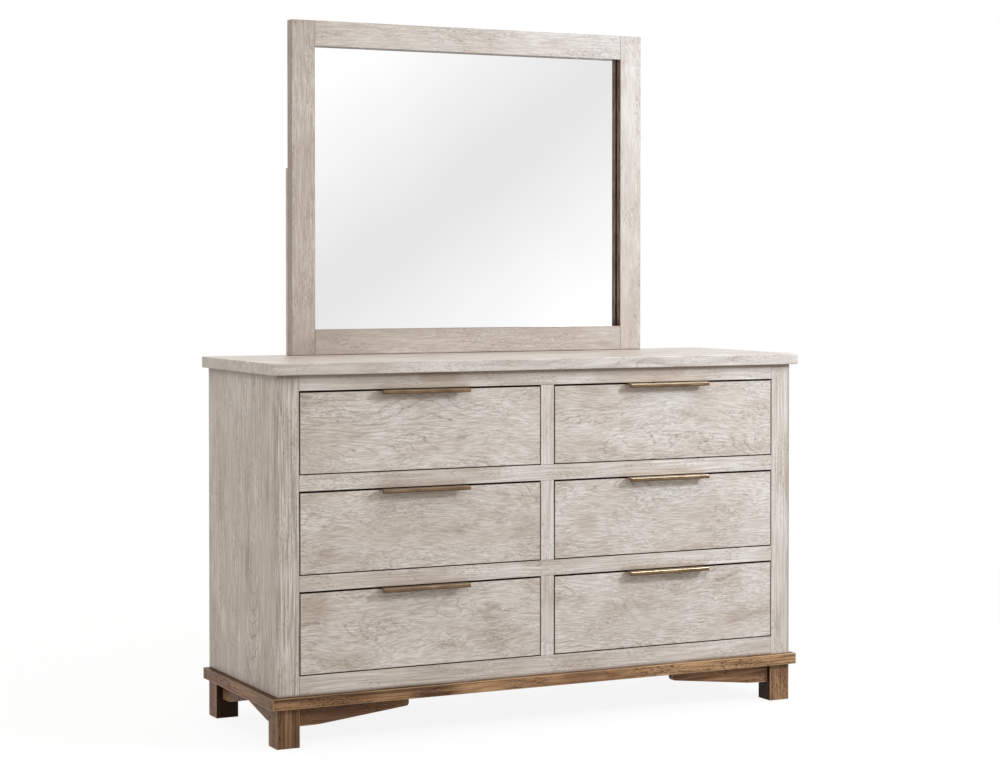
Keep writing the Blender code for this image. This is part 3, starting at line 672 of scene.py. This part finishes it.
# A board's own patches: middle x and z, half the line's length and the reach, all in metres, and a share.
OWN_SPOTS = {
    "rail_top": [(-0.307, 0.906, 0.030, 0.045, 0.55), (0.276, 0.896, 0.120, 0.035, 0.3)],
    "rail_lower": [(-0.500, 0.404, 0.200, 0.032, 0.3)],
    "drawer_front_bottom_left": [(-0.654, 0.345, 0.012, 0.060, 0.55)],
    "drawer_front_middle_right": [(0.116, 0.514, 0.005, 0.050, 0.45)],
    "drawer_front_middle_left": [(-0.513, 0.518, 0.100, 0.060, 0.16)],
    # Painted shade: the front moulding's top is darker on the left, under the rail.
    "base_moulding_front": [(-0.322, 0.110, 0.015, 0.070, 0.8), (-0.560, 0.127, 0.200, 0.014, 0.8)],
}


def pull_spot(place, share):
    """The spot by a pull, shifted to the left as its painted shadow is."""
    low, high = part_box("drawer_pull_" + place)
    return (low.x + high.x) / 2 - SPOT_LEFT_SHIFT, low.z, (high.x - low.x) / 2 - SPOT_LEFT_SHIFT, SPOT_REACH, share


def spots_of(node):
    """All the brown spots of a board."""
    spots = list(OWN_SPOTS.get(node, []))
    for place in DRAWERS:
        rail, on_rail, on_front = PULL_STAIN_AND_SHADE[place.split("_")[0]]
        share = {rail: on_rail, "drawer_front_" + place: on_front}.get(node, 0.0)
        if share:
            spots.append(pull_spot(place, share))
    return spots


def near_spots(tree, spots):
    """How brown a point is from the spots near it."""
    place = add_node(tree, "TexCoord").outputs["Object"]
    at = add_node(tree, "SeparateXYZ", (place,)).outputs
    shares = []
    for x, z, half, reach, share in spots:
        across = add_node(tree, "Math", (at["X"], x), operation="SUBTRACT")
        across = add_node(tree, "Math", (across,), operation="ABSOLUTE")
        across = add_node(tree, "Math", (across, half), operation="SUBTRACT")
        across = add_node(tree, "Math", (across, 0.0), operation="MAXIMUM")
        upward = add_node(tree, "Math", (at["Z"], z), operation="SUBTRACT")
        offset = add_node(tree, "CombineXYZ", {"X": across, "Z": upward})
        distance = add_node(tree, "VectorMath", (offset,), operation="LENGTH")
        shares.append(add_node(tree, "MapRange", mapped(distance, SPOT_CORE, reach, share, 0.0),
                               interpolation_type="SMOOTHSTEP"))
    return strongest(tree, shares)


print("spots:", sum(len(spots_of(node)) for node in NODES))

# %% [markdown]
# ## Boards get their finish
#
# One table says which finish each board has and how its grain runs. Rails and drawer fronts run sideways,
# stiles, posts and legs run upwards, and the case sides run upwards too. Boards of one piece of furniture
# are never quite the same shade, so a second table makes single boards lighter or darker. For the slab's
# top, the front moulding and the mirror's right stile the raised tone is partly painted light.

# %% Which board has which wood
# Fibres in a metre, along the grain and across it. The slab is seen at a grazing angle, so its are broad.
LONG = (6.0, 290.0, 290.0)  # 170 by 3.4 mm
SHORT = (24.0, 290.0, 290.0)  # 42 by 3.4 mm
BROAD = (4.0, 70.0, 70.0)  # 250 by 14 mm
FELTED = (120.0, 290.0, 290.0)  # 8 by 3.4 mm


def named(start, *endings):
    """Node names with the same start."""
    return [start + ending for ending in endings]


# Boards, finish, grain, face, wildness, fibres, contrast and how strongly the ring lines are drawn.
BOARDS = [
    (["top_panel"], "limed", "x", "z", 0.5, BROAD, 0.8, 0.8),
    (named("rail_", "top", "upper", "lower", "bottom"), "limed", "x", "-y", 0.25, LONG, 0.7, 0.7),
    (named("mirror_rail_", "top", "bottom"), "limed", "x", "-y", 0.25, SHORT, 0.6, 0.5),
    (named("drawer_front_", *DRAWERS), "limed", "x", "-y", 1.0, SHORT, 0.72, 1.0),
    (["front_stile_left"], "limed", "z", "-y", 0.15, LONG, 1.3, 0.8),
    (["front_stile_right"], "limed", "z", "-y", 0.15, LONG, 0.8, 0.6),
    (named("centre_stile_", "top", "middle", "bottom"), "limed", "z", "-y", 0.15, LONG, 0.6, 0.4),
    (named("mirror_", "stile_left", "post_left", "post_right"), "limed", "z", "-y", 0.15, SHORT, 0.75, 0.6),
    (["mirror_stile_right"], "limed", "z", "-y", 0.15, SHORT, 0.35, 0.3),
    (named("side_panel_", "left", "right"), "limed", "z", "x", 0.5, LONG, 1.0, 1.2),
    (["base_moulding_front", "base_rail_back"], "stained", "x", "-y", 0.2, LONG, 0.8, 0.8),
    (named("bracket_front_", "left", "right"), "stained", "x", "-y", 0.2, LONG, 0.8, 0.8),
    (named("base_moulding_", "left", "right"), "stained", "y", "x", 0.2, LONG, 0.8, 0.8),
    (named("bracket_left_", "front", "back"), "stained", "y", "x", 0.2, LONG, 0.8, 0.8),
    (named("bracket_right_", "front", "back"), "stained", "y", "x", 0.2, LONG, 0.8, 0.8),
    (named("leg_front_", "left", "right"), "stained", "z", "-y", 0.15, LONG, 0.8, 0.8),
    (named("leg_back_", "left", "right"), "stained", "z", "-y", 0.15, LONG, 0.8, 0.8),
    (named("deck_", "upper", "lower", "floor"), "maple", "x", "z", 0.6, LONG, 1.0, 1.0),
    (named("divider_", "top", "middle", "bottom"), "maple", "y", "x", 0.6, LONG, 1.0, 1.0),
    (named("drawer_box_", *DRAWERS), "maple", "y", "x", 0.3, LONG, 1.0, 1.0),
    (["back_panel", "mirror_backing"], "pressed", "x", "-y", 0.3, FELTED, 1.0, 1.0),
]
# Partly painted light: the tones of the slab's top, the front moulding and the mirror's right stile are
# raised to stand in for light and sheen on them.
TONE_AND_LIGHT = {
    "top_panel": 0.05,
    "rail_upper": 0.13,
    "rail_lower": 0.12,
    "front_stile_left": 0.09,
    "front_stile_right": 0.08,
    "centre_stile_top": 0.13,
    "centre_stile_middle": 0.13,
    "centre_stile_bottom": 0.13,
    "side_panel_left": 0.11,
    "side_panel_right": 0.11,
    "drawer_front_top_left": 0.02,
    "drawer_front_top_right": 0.01,
    "drawer_front_middle_right": 0.06,
    "drawer_front_bottom_left": 0.02,
    "drawer_front_bottom_right": 0.05,
    "mirror_stile_left": -0.2,
    "mirror_stile_right": -0.04,
    "mirror_rail_top": -0.04,
    "mirror_rail_bottom": -0.15,
    "base_moulding_front": 0.17,
    "bracket_front_left": -0.06,
    "leg_front_left": -0.02,
    "leg_back_left": 0.04,
}
SHINE = {"top_panel": 1.0, "mirror_stile_right": 0.18}
print("boards:", sum(len(names) for names, *recipe in BOARDS))

# %% [markdown]
# ## From the tables to the materials
#
# The heart line is what makes each board different. A plain board was sawn well beside it, so it shows
# straight lines. A wild board has the heart behind its face and at a slant, so it shows arches. The front
# of a drawer is finished and its back is bare maple, so its material mixes two finishes by how near a point
# is to the back.

# %% Board materials
BUMP_DEPTH = 0.4 * MILLIMETRE
BUMP_STRENGTH = 0.5
BARE_BACK = [("+y", 0.3, 1.0)]
WILD = 0.5
# The heart of a plain board and of a wild one: its slope, and its place across the board.
PLAIN_SLOPE, PLAIN_OFFSET = 0.03, (0.02, 0.08)
WILD_SLOPE, WILD_SPREAD = (0.04, 0.16), 0.8
HEART_DEPTH = (0.03, 0.09)
SHIFT_REACH = 40
SPACING_SPREAD = (0.85, 1.2)
WILD_SPACING = 0.25
TONE_SPREAD = 0.02


def heart_line(wildness, half_width):
    """The slope of a board's heart line, its place across the board and its depth behind the face."""
    if wildness < WILD:
        slope = dice.uniform(-PLAIN_SLOPE, PLAIN_SLOPE)
        across = dice.choice((-1, 1)) * (half_width + dice.uniform(*PLAIN_OFFSET))
    else:
        slope = dice.uniform(*WILD_SLOPE) * dice.choice((-1, 1))
        across = dice.uniform(-WILD_SPREAD, WILD_SPREAD) * half_width
    return slope, across, dice.uniform(*HEART_DEPTH)


def board_material(node, finish, grain, face, wildness, thread, contrast, drawn):
    """The material of one board."""
    material, tree, shader = new_material(f"{FINISHES[finish]['title']}_{node}")
    point, half = board_nodes(tree, node, grain, face)
    values = {
        "Point": point,
        "Half": half,
        "Heart": heart_line(wildness, half.y),
        "Shift": [dice.uniform(-SHIFT_REACH, SHIFT_REACH) for _ in range(3)],
        "Spacing": RING_SPACING * dice.uniform(*SPACING_SPREAD) * (1.0 + WILD_SPACING * wildness),
        "Wildness": wildness,
        "Thread": thread,
        "Contrast": contrast,
        "Drawn": drawn,
        "Tone": dice.uniform(-TONE_SPREAD, TONE_SPREAD) + TONE_AND_LIGHT.get(node, 0.0),
    }
    glaze_stain_and_shade = {}
    for start, planes in GLAZE_AND_PAINTED_SHADE.items():
        if node.startswith(start):
            glaze_stain_and_shade["GlazeAndShade"] = near_planes(tree, node, planes)
    if spots_of(node):
        glaze_stain_and_shade["StainAndShade"] = near_spots(tree, spots_of(node))
    pattern = add_node(tree, "Group", node_tree=FINISH_GROUPS[finish])
    fill(tree, pattern, {**values, **glaze_stain_and_shade})
    colour = pattern.outputs["Color"]
    if node.startswith("drawer_front"):
        bare = add_node(tree, "Group", values, node_tree=FINISH_GROUPS["maple"])
        behind = near_planes(tree, node, BARE_BACK)
        colour = add_node(tree, "Mix", {"Factor": behind, "A": colour, "B": bare}, data_type="RGBA")
    bump = {"Strength": BUMP_STRENGTH, "Distance": BUMP_DEPTH, "Height": pattern.outputs["Height"]}
    fill(tree, shader, {
        "Base Color": colour,
        "Roughness": pattern.outputs["Roughness"],
        "Specular IOR Level": SHINE.get(node, FINISHES[finish]["shine"]),
        "Normal": add_node(tree, "Bump", bump),
    })
    return material


def dress(node, material):
    """Gives a CAD node a material, and leaves its mesh alone."""
    piece = NODES[node]
    piece.data.materials.clear()
    piece.data.materials.append(material)


for names, *recipe in BOARDS:
    for name in names:
        dress(name, board_material(name, *recipe))
print("materials:", len(bpy.data.materials))

# %% [markdown]
# ## Brushed brass pulls
#
# The pulls are thin brass strips, brushed lengthwise and left to darken. Brushing leaves fine lines along
# the strip that spread a highlight, and ageing leaves cloudy brown patches. A pale painted highlight runs
# along the top edge, strongest on the right-hand pulls where the lamp reflects, and painted shade darkens the
# lower edge and the left end.
# Brass has a metallic value of 1, so its colour is the colour of its reflection.
#
# Real brush lines are a tenth of a millimetre apart. They are drawn about 1 mm apart and 70 mm long here.

# %% Brass
BRUSH_LINES = (14.0, 900.0, 900.0)  # 71 by 1.1 mm
BRUSH_DEPTH = 0.1 * MILLIMETRE
BRUSH_STRENGTH = 0.14
BRASS_CLOUDS = 22.0  # 45 mm
CLOUD_SHARE = 0.45
BRASS_STOPS = [(0.32, "#5A4432"), (0.5, "#796149"), (0.68, "#9C8369")]
BRASS_ROUGHNESS = (0.2, 0.4)
# Painted highlight: a pale top edge in place of the lamp's reflection, strongest on the right-hand pulls.
HIGHLIGHT_WIDTH = 2.6
PAINTED_HIGHLIGHT = {"drawer_pull_top_right": 1.0, "drawer_pull_middle_right": 0.8, "drawer_pull_bottom_right": 0.35}
HIGHLIGHT_ELSEWHERE = 0.2
# Painted shade at the lower edge and the left end of each pull.
PULL_EDGE_SHADE = [("-z", 3.0, 0.85), ("-x", 3.0, 0.85)]


def brass_material(node):
    """The material of one pull."""
    material, tree, shader = new_material("aged_brushed_brass_" + node)
    place = add_node(tree, "TexCoord").outputs["Object"]
    stretched = add_node(tree, "VectorMath", (place, BRUSH_LINES), operation="MULTIPLY")
    brushing = add_node(tree, "TexNoise", {"Vector": stretched, "Scale": 1.0, "Detail": 3.0})
    cloud = add_node(tree, "TexNoise", {"Vector": place, "Scale": BRASS_CLOUDS, "Detail": 3.0})
    mixed = add_node(tree, "Mix", {"Factor": CLOUD_SHARE, "A": brushing, "B": cloud})
    colour = add_node(tree, "ValToRGB", (mixed,), stops=BRASS_STOPS)
    # A painted highlight along the top edge, and painted shade at the lower edge and the left end.
    highlight_share = near_planes(tree, node, [("+z", HIGHLIGHT_WIDTH, PAINTED_HIGHLIGHT.get(node, HIGHLIGHT_ELSEWHERE))])
    edge_shade = near_planes(tree, node, PULL_EDGE_SHADE)
    for share, shade in ((highlight_share, "#E6D6B8"), (edge_shade, "#33241A")):
        colour = add_node(tree, "Mix", {"Factor": share, "A": colour, "B": shade}, data_type="RGBA")
    bump = {"Strength": BRUSH_STRENGTH, "Distance": BRUSH_DEPTH, "Height": brushing}
    fill(tree, shader, {
        "Metallic": 1.0,
        "Base Color": colour,
        "Roughness": add_node(tree, "MapRange", mapped(mixed, 0.0, 1.0, *BRASS_ROUGHNESS)),
        "Normal": add_node(tree, "Bump", bump),
    })
    return material


BRASS = {place: brass_material("drawer_pull_" + place) for place in DRAWERS}
for place in DRAWERS:
    dress("drawer_pull_" + place, BRASS[place])
print("pulls dressed:", len(DRAWERS))

# %% [markdown]
# ## Silvered glass
#
# A mirror is float glass with a silver coat behind it. Two surfaces, glass and silver, would be truer, but
# the glass adds nothing that can be seen from outside, so one metal surface stands for both. It reflects
# nearly everything, and a trace of slow unevenness keeps it from looking like a computed plane.

# %% Mirror glass
HAZE_SWELLS = 3.0  # 330 mm
SILVER_STOPS = [(0.3, "#FAFAFA"), (0.7, "#FDFDFD")]
SILVER_ROUGHNESS = (0.004, 0.012)


def mirror_material():
    """The material of the mirror."""
    material, tree, shader = new_material("silvered_float_glass")
    place = add_node(tree, "TexCoord").outputs["Object"]
    haze = add_node(tree, "TexNoise", {"Vector": place, "Scale": HAZE_SWELLS, "Detail": 2.0})
    fill(tree, shader, {
        "Metallic": 1.0,
        "Base Color": add_node(tree, "ValToRGB", (haze,), stops=SILVER_STOPS),
        "Roughness": add_node(tree, "MapRange", mapped(haze, 0.0, 1.0, *SILVER_ROUGHNESS)),
    })
    return material


dress("mirror_glass", mirror_material())
print("mirror dressed")

# %% [markdown]
# ## Zinc-plated steel
#
# Case screws are steel with a thin zinc coat. The coat is dull and a little cloudy, with faint scratches
# from the driver. Everything varies over a few millimetres at most, because the heads are 7 mm wide.

# %% Zinc-plated steel
ZINC_CLOUDS = 420.0  # 2.4 mm
ZINC_STOPS = [(0.35, "#8F9193"), (0.55, "#B1B2B2"), (0.7, "#C4C3BE")]
ZINC_ROUGHNESS = (0.28, 0.55)
DRIVER_SCRATCHES = (300.0, 2600.0, 2600.0)  # 3.3 by 0.4 mm
SCRATCH_DEPTH = 0.05 * MILLIMETRE
SCRATCH_STRENGTH = 0.3


def steel_material():
    """The material of the case screws and of the turn buttons."""
    material, tree, shader = new_material("zinc_plated_steel")
    place = add_node(tree, "TexCoord").outputs["Object"]
    cloud = add_node(tree, "TexNoise", {"Vector": place, "Scale": ZINC_CLOUDS, "Detail": 3.0})
    stretched = add_node(tree, "VectorMath", (place, DRIVER_SCRATCHES), operation="MULTIPLY")
    scratch = add_node(tree, "TexNoise", {"Vector": stretched, "Scale": 1.0, "Detail": 1.0})
    bump = {"Strength": SCRATCH_STRENGTH, "Distance": SCRATCH_DEPTH, "Height": scratch}
    fill(tree, shader, {
        "Metallic": 1.0,
        "Base Color": add_node(tree, "ValToRGB", (cloud,), stops=ZINC_STOPS),
        "Roughness": add_node(tree, "MapRange", mapped(scratch, 0.0, 1.0, *ZINC_ROUGHNESS)),
        "Normal": add_node(tree, "Bump", bump),
    })
    return material


STEEL = steel_material()
print("made", STEEL.name)

# %% [markdown]
# ## One screw head
#
# Small hardware is what shows how a piece is put together. The plates of the pulls are screwed down into
# the top edges of the drawer fronts, the thin back board is screwed to the case along the decks, the two
# posts are screwed to the mirror's frame, and turn buttons hold the mirror's backing.
#
# All screws share one head, a low dome with a cross cut into it. The dome is a profile spun round an axis,
# and a Boolean modifier cuts the cross, which is truer at its edges than a bump.

# %% One screw head
HEAD_RADIUS = 3.5 * MILLIMETRE
HEAD_HEIGHT = 1.3 * MILLIMETRE
HEAD_CORNERS = 32
DOME = [(0.0, 1.0), (0.45, 0.95), (0.75, 0.75), (0.93, 0.4), (1.0, 0.0)]
CROSS_LENGTH = 1.25 * HEAD_RADIUS
CROSS_WIDTH = 0.26 * HEAD_RADIUS
SAME_POINT = 0.001 * MILLIMETRE


def mesh_object(name, work):
    """A plain object from a bmesh, with its faces turned outward."""
    bmesh.ops.recalc_face_normals(work, faces=work.faces)
    mesh = bpy.data.meshes.new(name)
    work.to_mesh(mesh)
    work.free()
    made = bpy.data.objects.new(name, mesh)
    bpy.context.scene.collection.objects.link(made)
    return made


def evaluated_mesh(thing):
    """The mesh of an object with its modifiers applied."""
    graph = bpy.context.evaluated_depsgraph_get()
    return bpy.data.meshes.new_from_object(thing.evaluated_get(graph), depsgraph=graph)


def screw_head():
    """A dome with a cross recess, its flat underside at zero height."""
    work = bmesh.new()
    profile = [work.verts.new((share * HEAD_RADIUS, 0, rise * HEAD_HEIGHT)) for share, rise in DOME]
    edges = [work.edges.new(pair) for pair in zip(profile, profile[1:])]
    bmesh.ops.spin(work, geom=profile + edges, axis=(0, 0, 1), cent=(0, 0, 0), steps=HEAD_CORNERS,
                   angle=math.tau, use_duplicate=False)
    bmesh.ops.remove_doubles(work, verts=work.verts, dist=SAME_POINT)
    rim = [edge for edge in work.edges if edge.is_boundary]
    bmesh.ops.contextual_create(work, geom=rim)
    head = mesh_object("screw_head", work)

    cross = bmesh.new()
    for turn in (0, math.pi / 2):
        bar = bmesh.ops.create_cube(cross, size=1.0)["verts"]
        bmesh.ops.scale(cross, verts=bar, vec=(CROSS_LENGTH, CROSS_WIDTH, HEAD_HEIGHT))
        bmesh.ops.rotate(cross, verts=bar, matrix=Matrix.Rotation(turn, 3, "Z"))
        bmesh.ops.translate(cross, verts=bar, vec=(0, 0, HEAD_HEIGHT))
    cutter = mesh_object("cross_cutter", cross)
    cut = head.modifiers.new("cross", "BOOLEAN")
    cut.operation = "DIFFERENCE"
    cut.object = cutter
    cut.solver = "EXACT"
    cut.use_self = True
    mesh = evaluated_mesh(head)
    for spare in (head, cutter):
        bpy.data.objects.remove(spare)
    return mesh


HEAD_MESH = screw_head()
print("screw head faces:", len(HEAD_MESH.polygons))

# %% [markdown]
# ## A tree that repeats a head along a line
#
# Copying heads by hand would be slow to change. A Geometry Nodes tree makes a line of points instead, and
# puts a head on each, turned by a seeded random angle, as no two screws stop at the same angle. Its inputs
# are the start of the row, the step from one screw to the next, their number and the way they face.

# %% Screw row
def row_tree():
    """The tree of a row of screws."""
    tree = bpy.data.node_groups.new("screw_row", "GeometryNodeTree")
    tree.is_modifier = True
    for label, kind in (("Head", "Object"), ("Count", "Int"), ("Start", "Vector"), ("Step", "Vector"),
                        ("Turn", "Vector"), ("Size", "Float"), ("Seed", "Int"), ("Material", "Material")):
        tree.interface.new_socket(name=label, in_out="INPUT", socket_type="NodeSocket" + kind)
    tree.interface.new_socket(name="Geometry", in_out="OUTPUT", socket_type="NodeSocketGeometry")
    given = add_node(tree, "NodeGroupInput").outputs
    inputs = {"Count": given["Count"], "Start Location": given["Start"], "Offset": given["Step"]}
    line = add_node(tree, "GeometryNodeMeshLine", inputs, mode="OFFSET")
    head = add_node(tree, "GeometryNodeObjectInfo", {"Object": given["Head"]})
    inputs = {"Min": 0.0, "Max": math.tau, "Seed": given["Seed"]}
    angle = add_node(tree, "FunctionNodeRandomValue", inputs, data_type="FLOAT")
    spin = add_node(tree, "CombineXYZ", {"Z": angle})
    spin = add_node(tree, "FunctionNodeEulerToRotation", (spin,))
    outward = add_node(tree, "FunctionNodeEulerToRotation", (given["Turn"],))
    turned = add_node(tree, "FunctionNodeRotateRotation", (outward, spin), rotation_space="LOCAL")
    head = head.outputs["Geometry"]
    inputs = {"Points": line, "Instance": head, "Rotation": turned, "Scale": given["Size"]}
    placed = add_node(tree, "GeometryNodeInstanceOnPoints", inputs)
    real = add_node(tree, "GeometryNodeRealizeInstances", {"Geometry": placed})
    dressed = add_node(tree, "GeometryNodeSetMaterial", {"Geometry": real, "Material": given["Material"]})
    add_node(tree, "NodeGroupOutput", {"Geometry": dressed})
    return tree


SCREW_ROW = row_tree()
print("nodes in the row tree:", len(SCREW_ROW.nodes))

# %% [markdown]
# ## Screws in the plates of the pulls
#
# Three screws hold each pull, and they move with its drawer. All rows on one body are joined into one piece
# that rides it.

# %% Pull screws
UP = (0.0, 0.0, 0.0)
REARWARD = (-math.pi / 2, 0.0, 0.0)
PULL_SCREW_SIZE = 0.8
PULL_SCREW_COUNT = 3
PULL_SCREW_PITCH = 85 * MILLIMETRE
PULL_SCREW_SINK = 0.5 * MILLIMETRE
PULL_SCREW_INSET = 8 * MILLIMETRE
head_object = bpy.data.objects.new("screw_head", HEAD_MESH)
bpy.context.scene.collection.objects.link(head_object)


def row_mesh(row, seed, material):
    """One row of heads as a plain mesh. A row is a start, a step, a count, a turn and a size."""
    base = bpy.data.objects.new("screw_row", bpy.data.meshes.new("screw_row"))
    bpy.context.scene.collection.objects.link(base)
    modifier = base.modifiers.new("row", "NODES")
    modifier.node_group = SCREW_ROW
    values = dict(zip(("Start", "Step", "Count", "Turn", "Size"), row))
    values.update({"Head": head_object, "Seed": seed, "Material": material})
    for item in SCREW_ROW.interface.items_tree:
        if item.in_out == "INPUT":
            modifier[item.identifier] = values[item.name]
    mesh = evaluated_mesh(base)
    bpy.data.objects.remove(base)
    return mesh


def screw_piece(name, body, rows, material):
    """Joins rows of heads into one object that rides a body."""
    work = bmesh.new()
    for seed, row in enumerate(rows):
        mesh = row_mesh(row, seed, material)
        work.from_mesh(mesh)
        bpy.data.meshes.remove(mesh)
    piece = mesh_object(name, work)
    piece.data.materials.append(material)
    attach(piece, body)
    print(name, len(piece.data.polygons), "faces")
    return piece


for place in DRAWERS:
    low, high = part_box("drawer_pull_" + place)
    start = ((low.x + high.x) / 2 - PULL_SCREW_PITCH, high.y - PULL_SCREW_INSET, high.z - PULL_SCREW_SINK)
    row = (start, (PULL_SCREW_PITCH, 0.0, 0.0), PULL_SCREW_COUNT, UP, PULL_SCREW_SIZE)
    screw_piece("pull_screws_" + place, "drawer_" + place, [row], BRASS[place])

# %% [markdown]
# ## Screws at the back
#
# The back board is fixed to the rear edges of the three decks and of the dividers between the drawers. The
# posts carry the mirror, so their screws are a size larger.

# %% Back screws
BACK_SCREW_SIZE = 1.0
BACK_SCREW_COUNT = 9
BACK_SCREW_PITCH = 170 * MILLIMETRE
POST_SCREW_SIZE = 1.15
POST_SCREW_COUNT = 3
POST_SCREW_PITCH = 180 * MILLIMETRE
POST_SCREW_START = 70 * MILLIMETRE

back_rows = []
for board, count in (("deck_floor", BACK_SCREW_COUNT), ("deck_lower", BACK_SCREW_COUNT),
                     ("deck_upper", BACK_SCREW_COUNT), ("divider_top", 1), ("divider_middle", 1),
                     ("divider_bottom", 1)):
    low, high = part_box(board)
    start = (-(count // 2) * BACK_SCREW_PITCH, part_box("back_panel")[1].y, (low.z + high.z) / 2)
    back_rows.append((start, (BACK_SCREW_PITCH, 0.0, 0.0), count, REARWARD, BACK_SCREW_SIZE))
screw_piece("back_panel_screws", "case", back_rows, STEEL)

post_rows = []
for post in ("mirror_post_left", "mirror_post_right"):
    low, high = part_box(post)
    start = ((low.x + high.x) / 2, high.y, low.z + POST_SCREW_START)
    post_rows.append((start, (0.0, 0.0, POST_SCREW_PITCH), POST_SCREW_COUNT, REARWARD, POST_SCREW_SIZE))
screw_piece("mirror_post_screws", "case", post_rows, STEEL)

# %% [markdown]
# ## Turn buttons behind the mirror
#
# The mirror's backing sits in a rebate and must come out when the glass is changed. Small steel tabs, each
# on one screw, turn over its edge. They are stamped from strip 1.2 mm thick, with round ends. Each is an
# outline that is extruded, and a few degrees of random turn make them look as if a hand had set them.

# %% Turn buttons
BUTTON_LENGTH = 26 * MILLIMETRE
BUTTON_WIDTH = 10 * MILLIMETRE
BUTTON_THICKNESS = 1.2 * MILLIMETRE
BUTTON_INSET = 8 * MILLIMETRE
BUTTON_COLUMNS = (-0.32, 0.0, 0.32)
BUTTON_HEIGHT = 1.62
BUTTON_SLACK = 9
BUTTON_SCREW_SIZE = 0.85
ROUND_STEPS = 12
NO_STEP = (0.0, 0.0, 0.0)
FRAME_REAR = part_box("mirror_rail_top")[1].y + 0.1 * MILLIMETRE


def button(work, x, z, angle):
    """Adds a tab with round ends on the frame's rear face, its screw at x, z and its tongue at an angle."""
    radius = BUTTON_WIDTH / 2
    corners = []
    for centre, first in ((0.0, 90), (BUTTON_LENGTH - BUTTON_WIDTH, -90)):
        for step in range(ROUND_STEPS + 1):
            turn = math.radians(first + 180 / ROUND_STEPS * step)
            along = centre + radius * math.cos(turn)
            across = radius * math.sin(turn)
            corners.append(work.verts.new((
                x + along * math.cos(angle) - across * math.sin(angle),
                FRAME_REAR,
                z + along * math.sin(angle) + across * math.cos(angle),
            )))
    face = work.faces.new(corners)
    raised = bmesh.ops.extrude_face_region(work, geom=[face])["geom"]
    raised = [part for part in raised if isinstance(part, bmesh.types.BMVert)]
    bmesh.ops.translate(work, verts=raised, vec=(0, BUTTON_THICKNESS, 0))


low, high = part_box("mirror_backing")
inward = []
for x in BUTTON_COLUMNS:
    inward.append((x, high.z + BUTTON_INSET, -math.pi / 2))
    inward.append((x, low.z - BUTTON_INSET, math.pi / 2))
inward.append((-(high.x + BUTTON_INSET), BUTTON_HEIGHT, 0.0))
inward.append((high.x + BUTTON_INSET, BUTTON_HEIGHT, math.pi))
work = bmesh.new()
for x, z, angle in inward:
    button(work, x, z, angle + math.radians(dice.uniform(-BUTTON_SLACK, BUTTON_SLACK)))
buttons = mesh_object("backing_turn_buttons", work)
buttons.data.materials.append(STEEL)
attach(buttons, "case")
on_button = FRAME_REAR + BUTTON_THICKNESS
button_rows = [((x, on_button, z), NO_STEP, 1, REARWARD, BUTTON_SCREW_SIZE) for x, z, angle in inward]
screw_piece("turn_button_screws", "case", button_rows, STEEL)
bpy.data.objects.remove(head_object)
print("turn buttons:", len(inward))
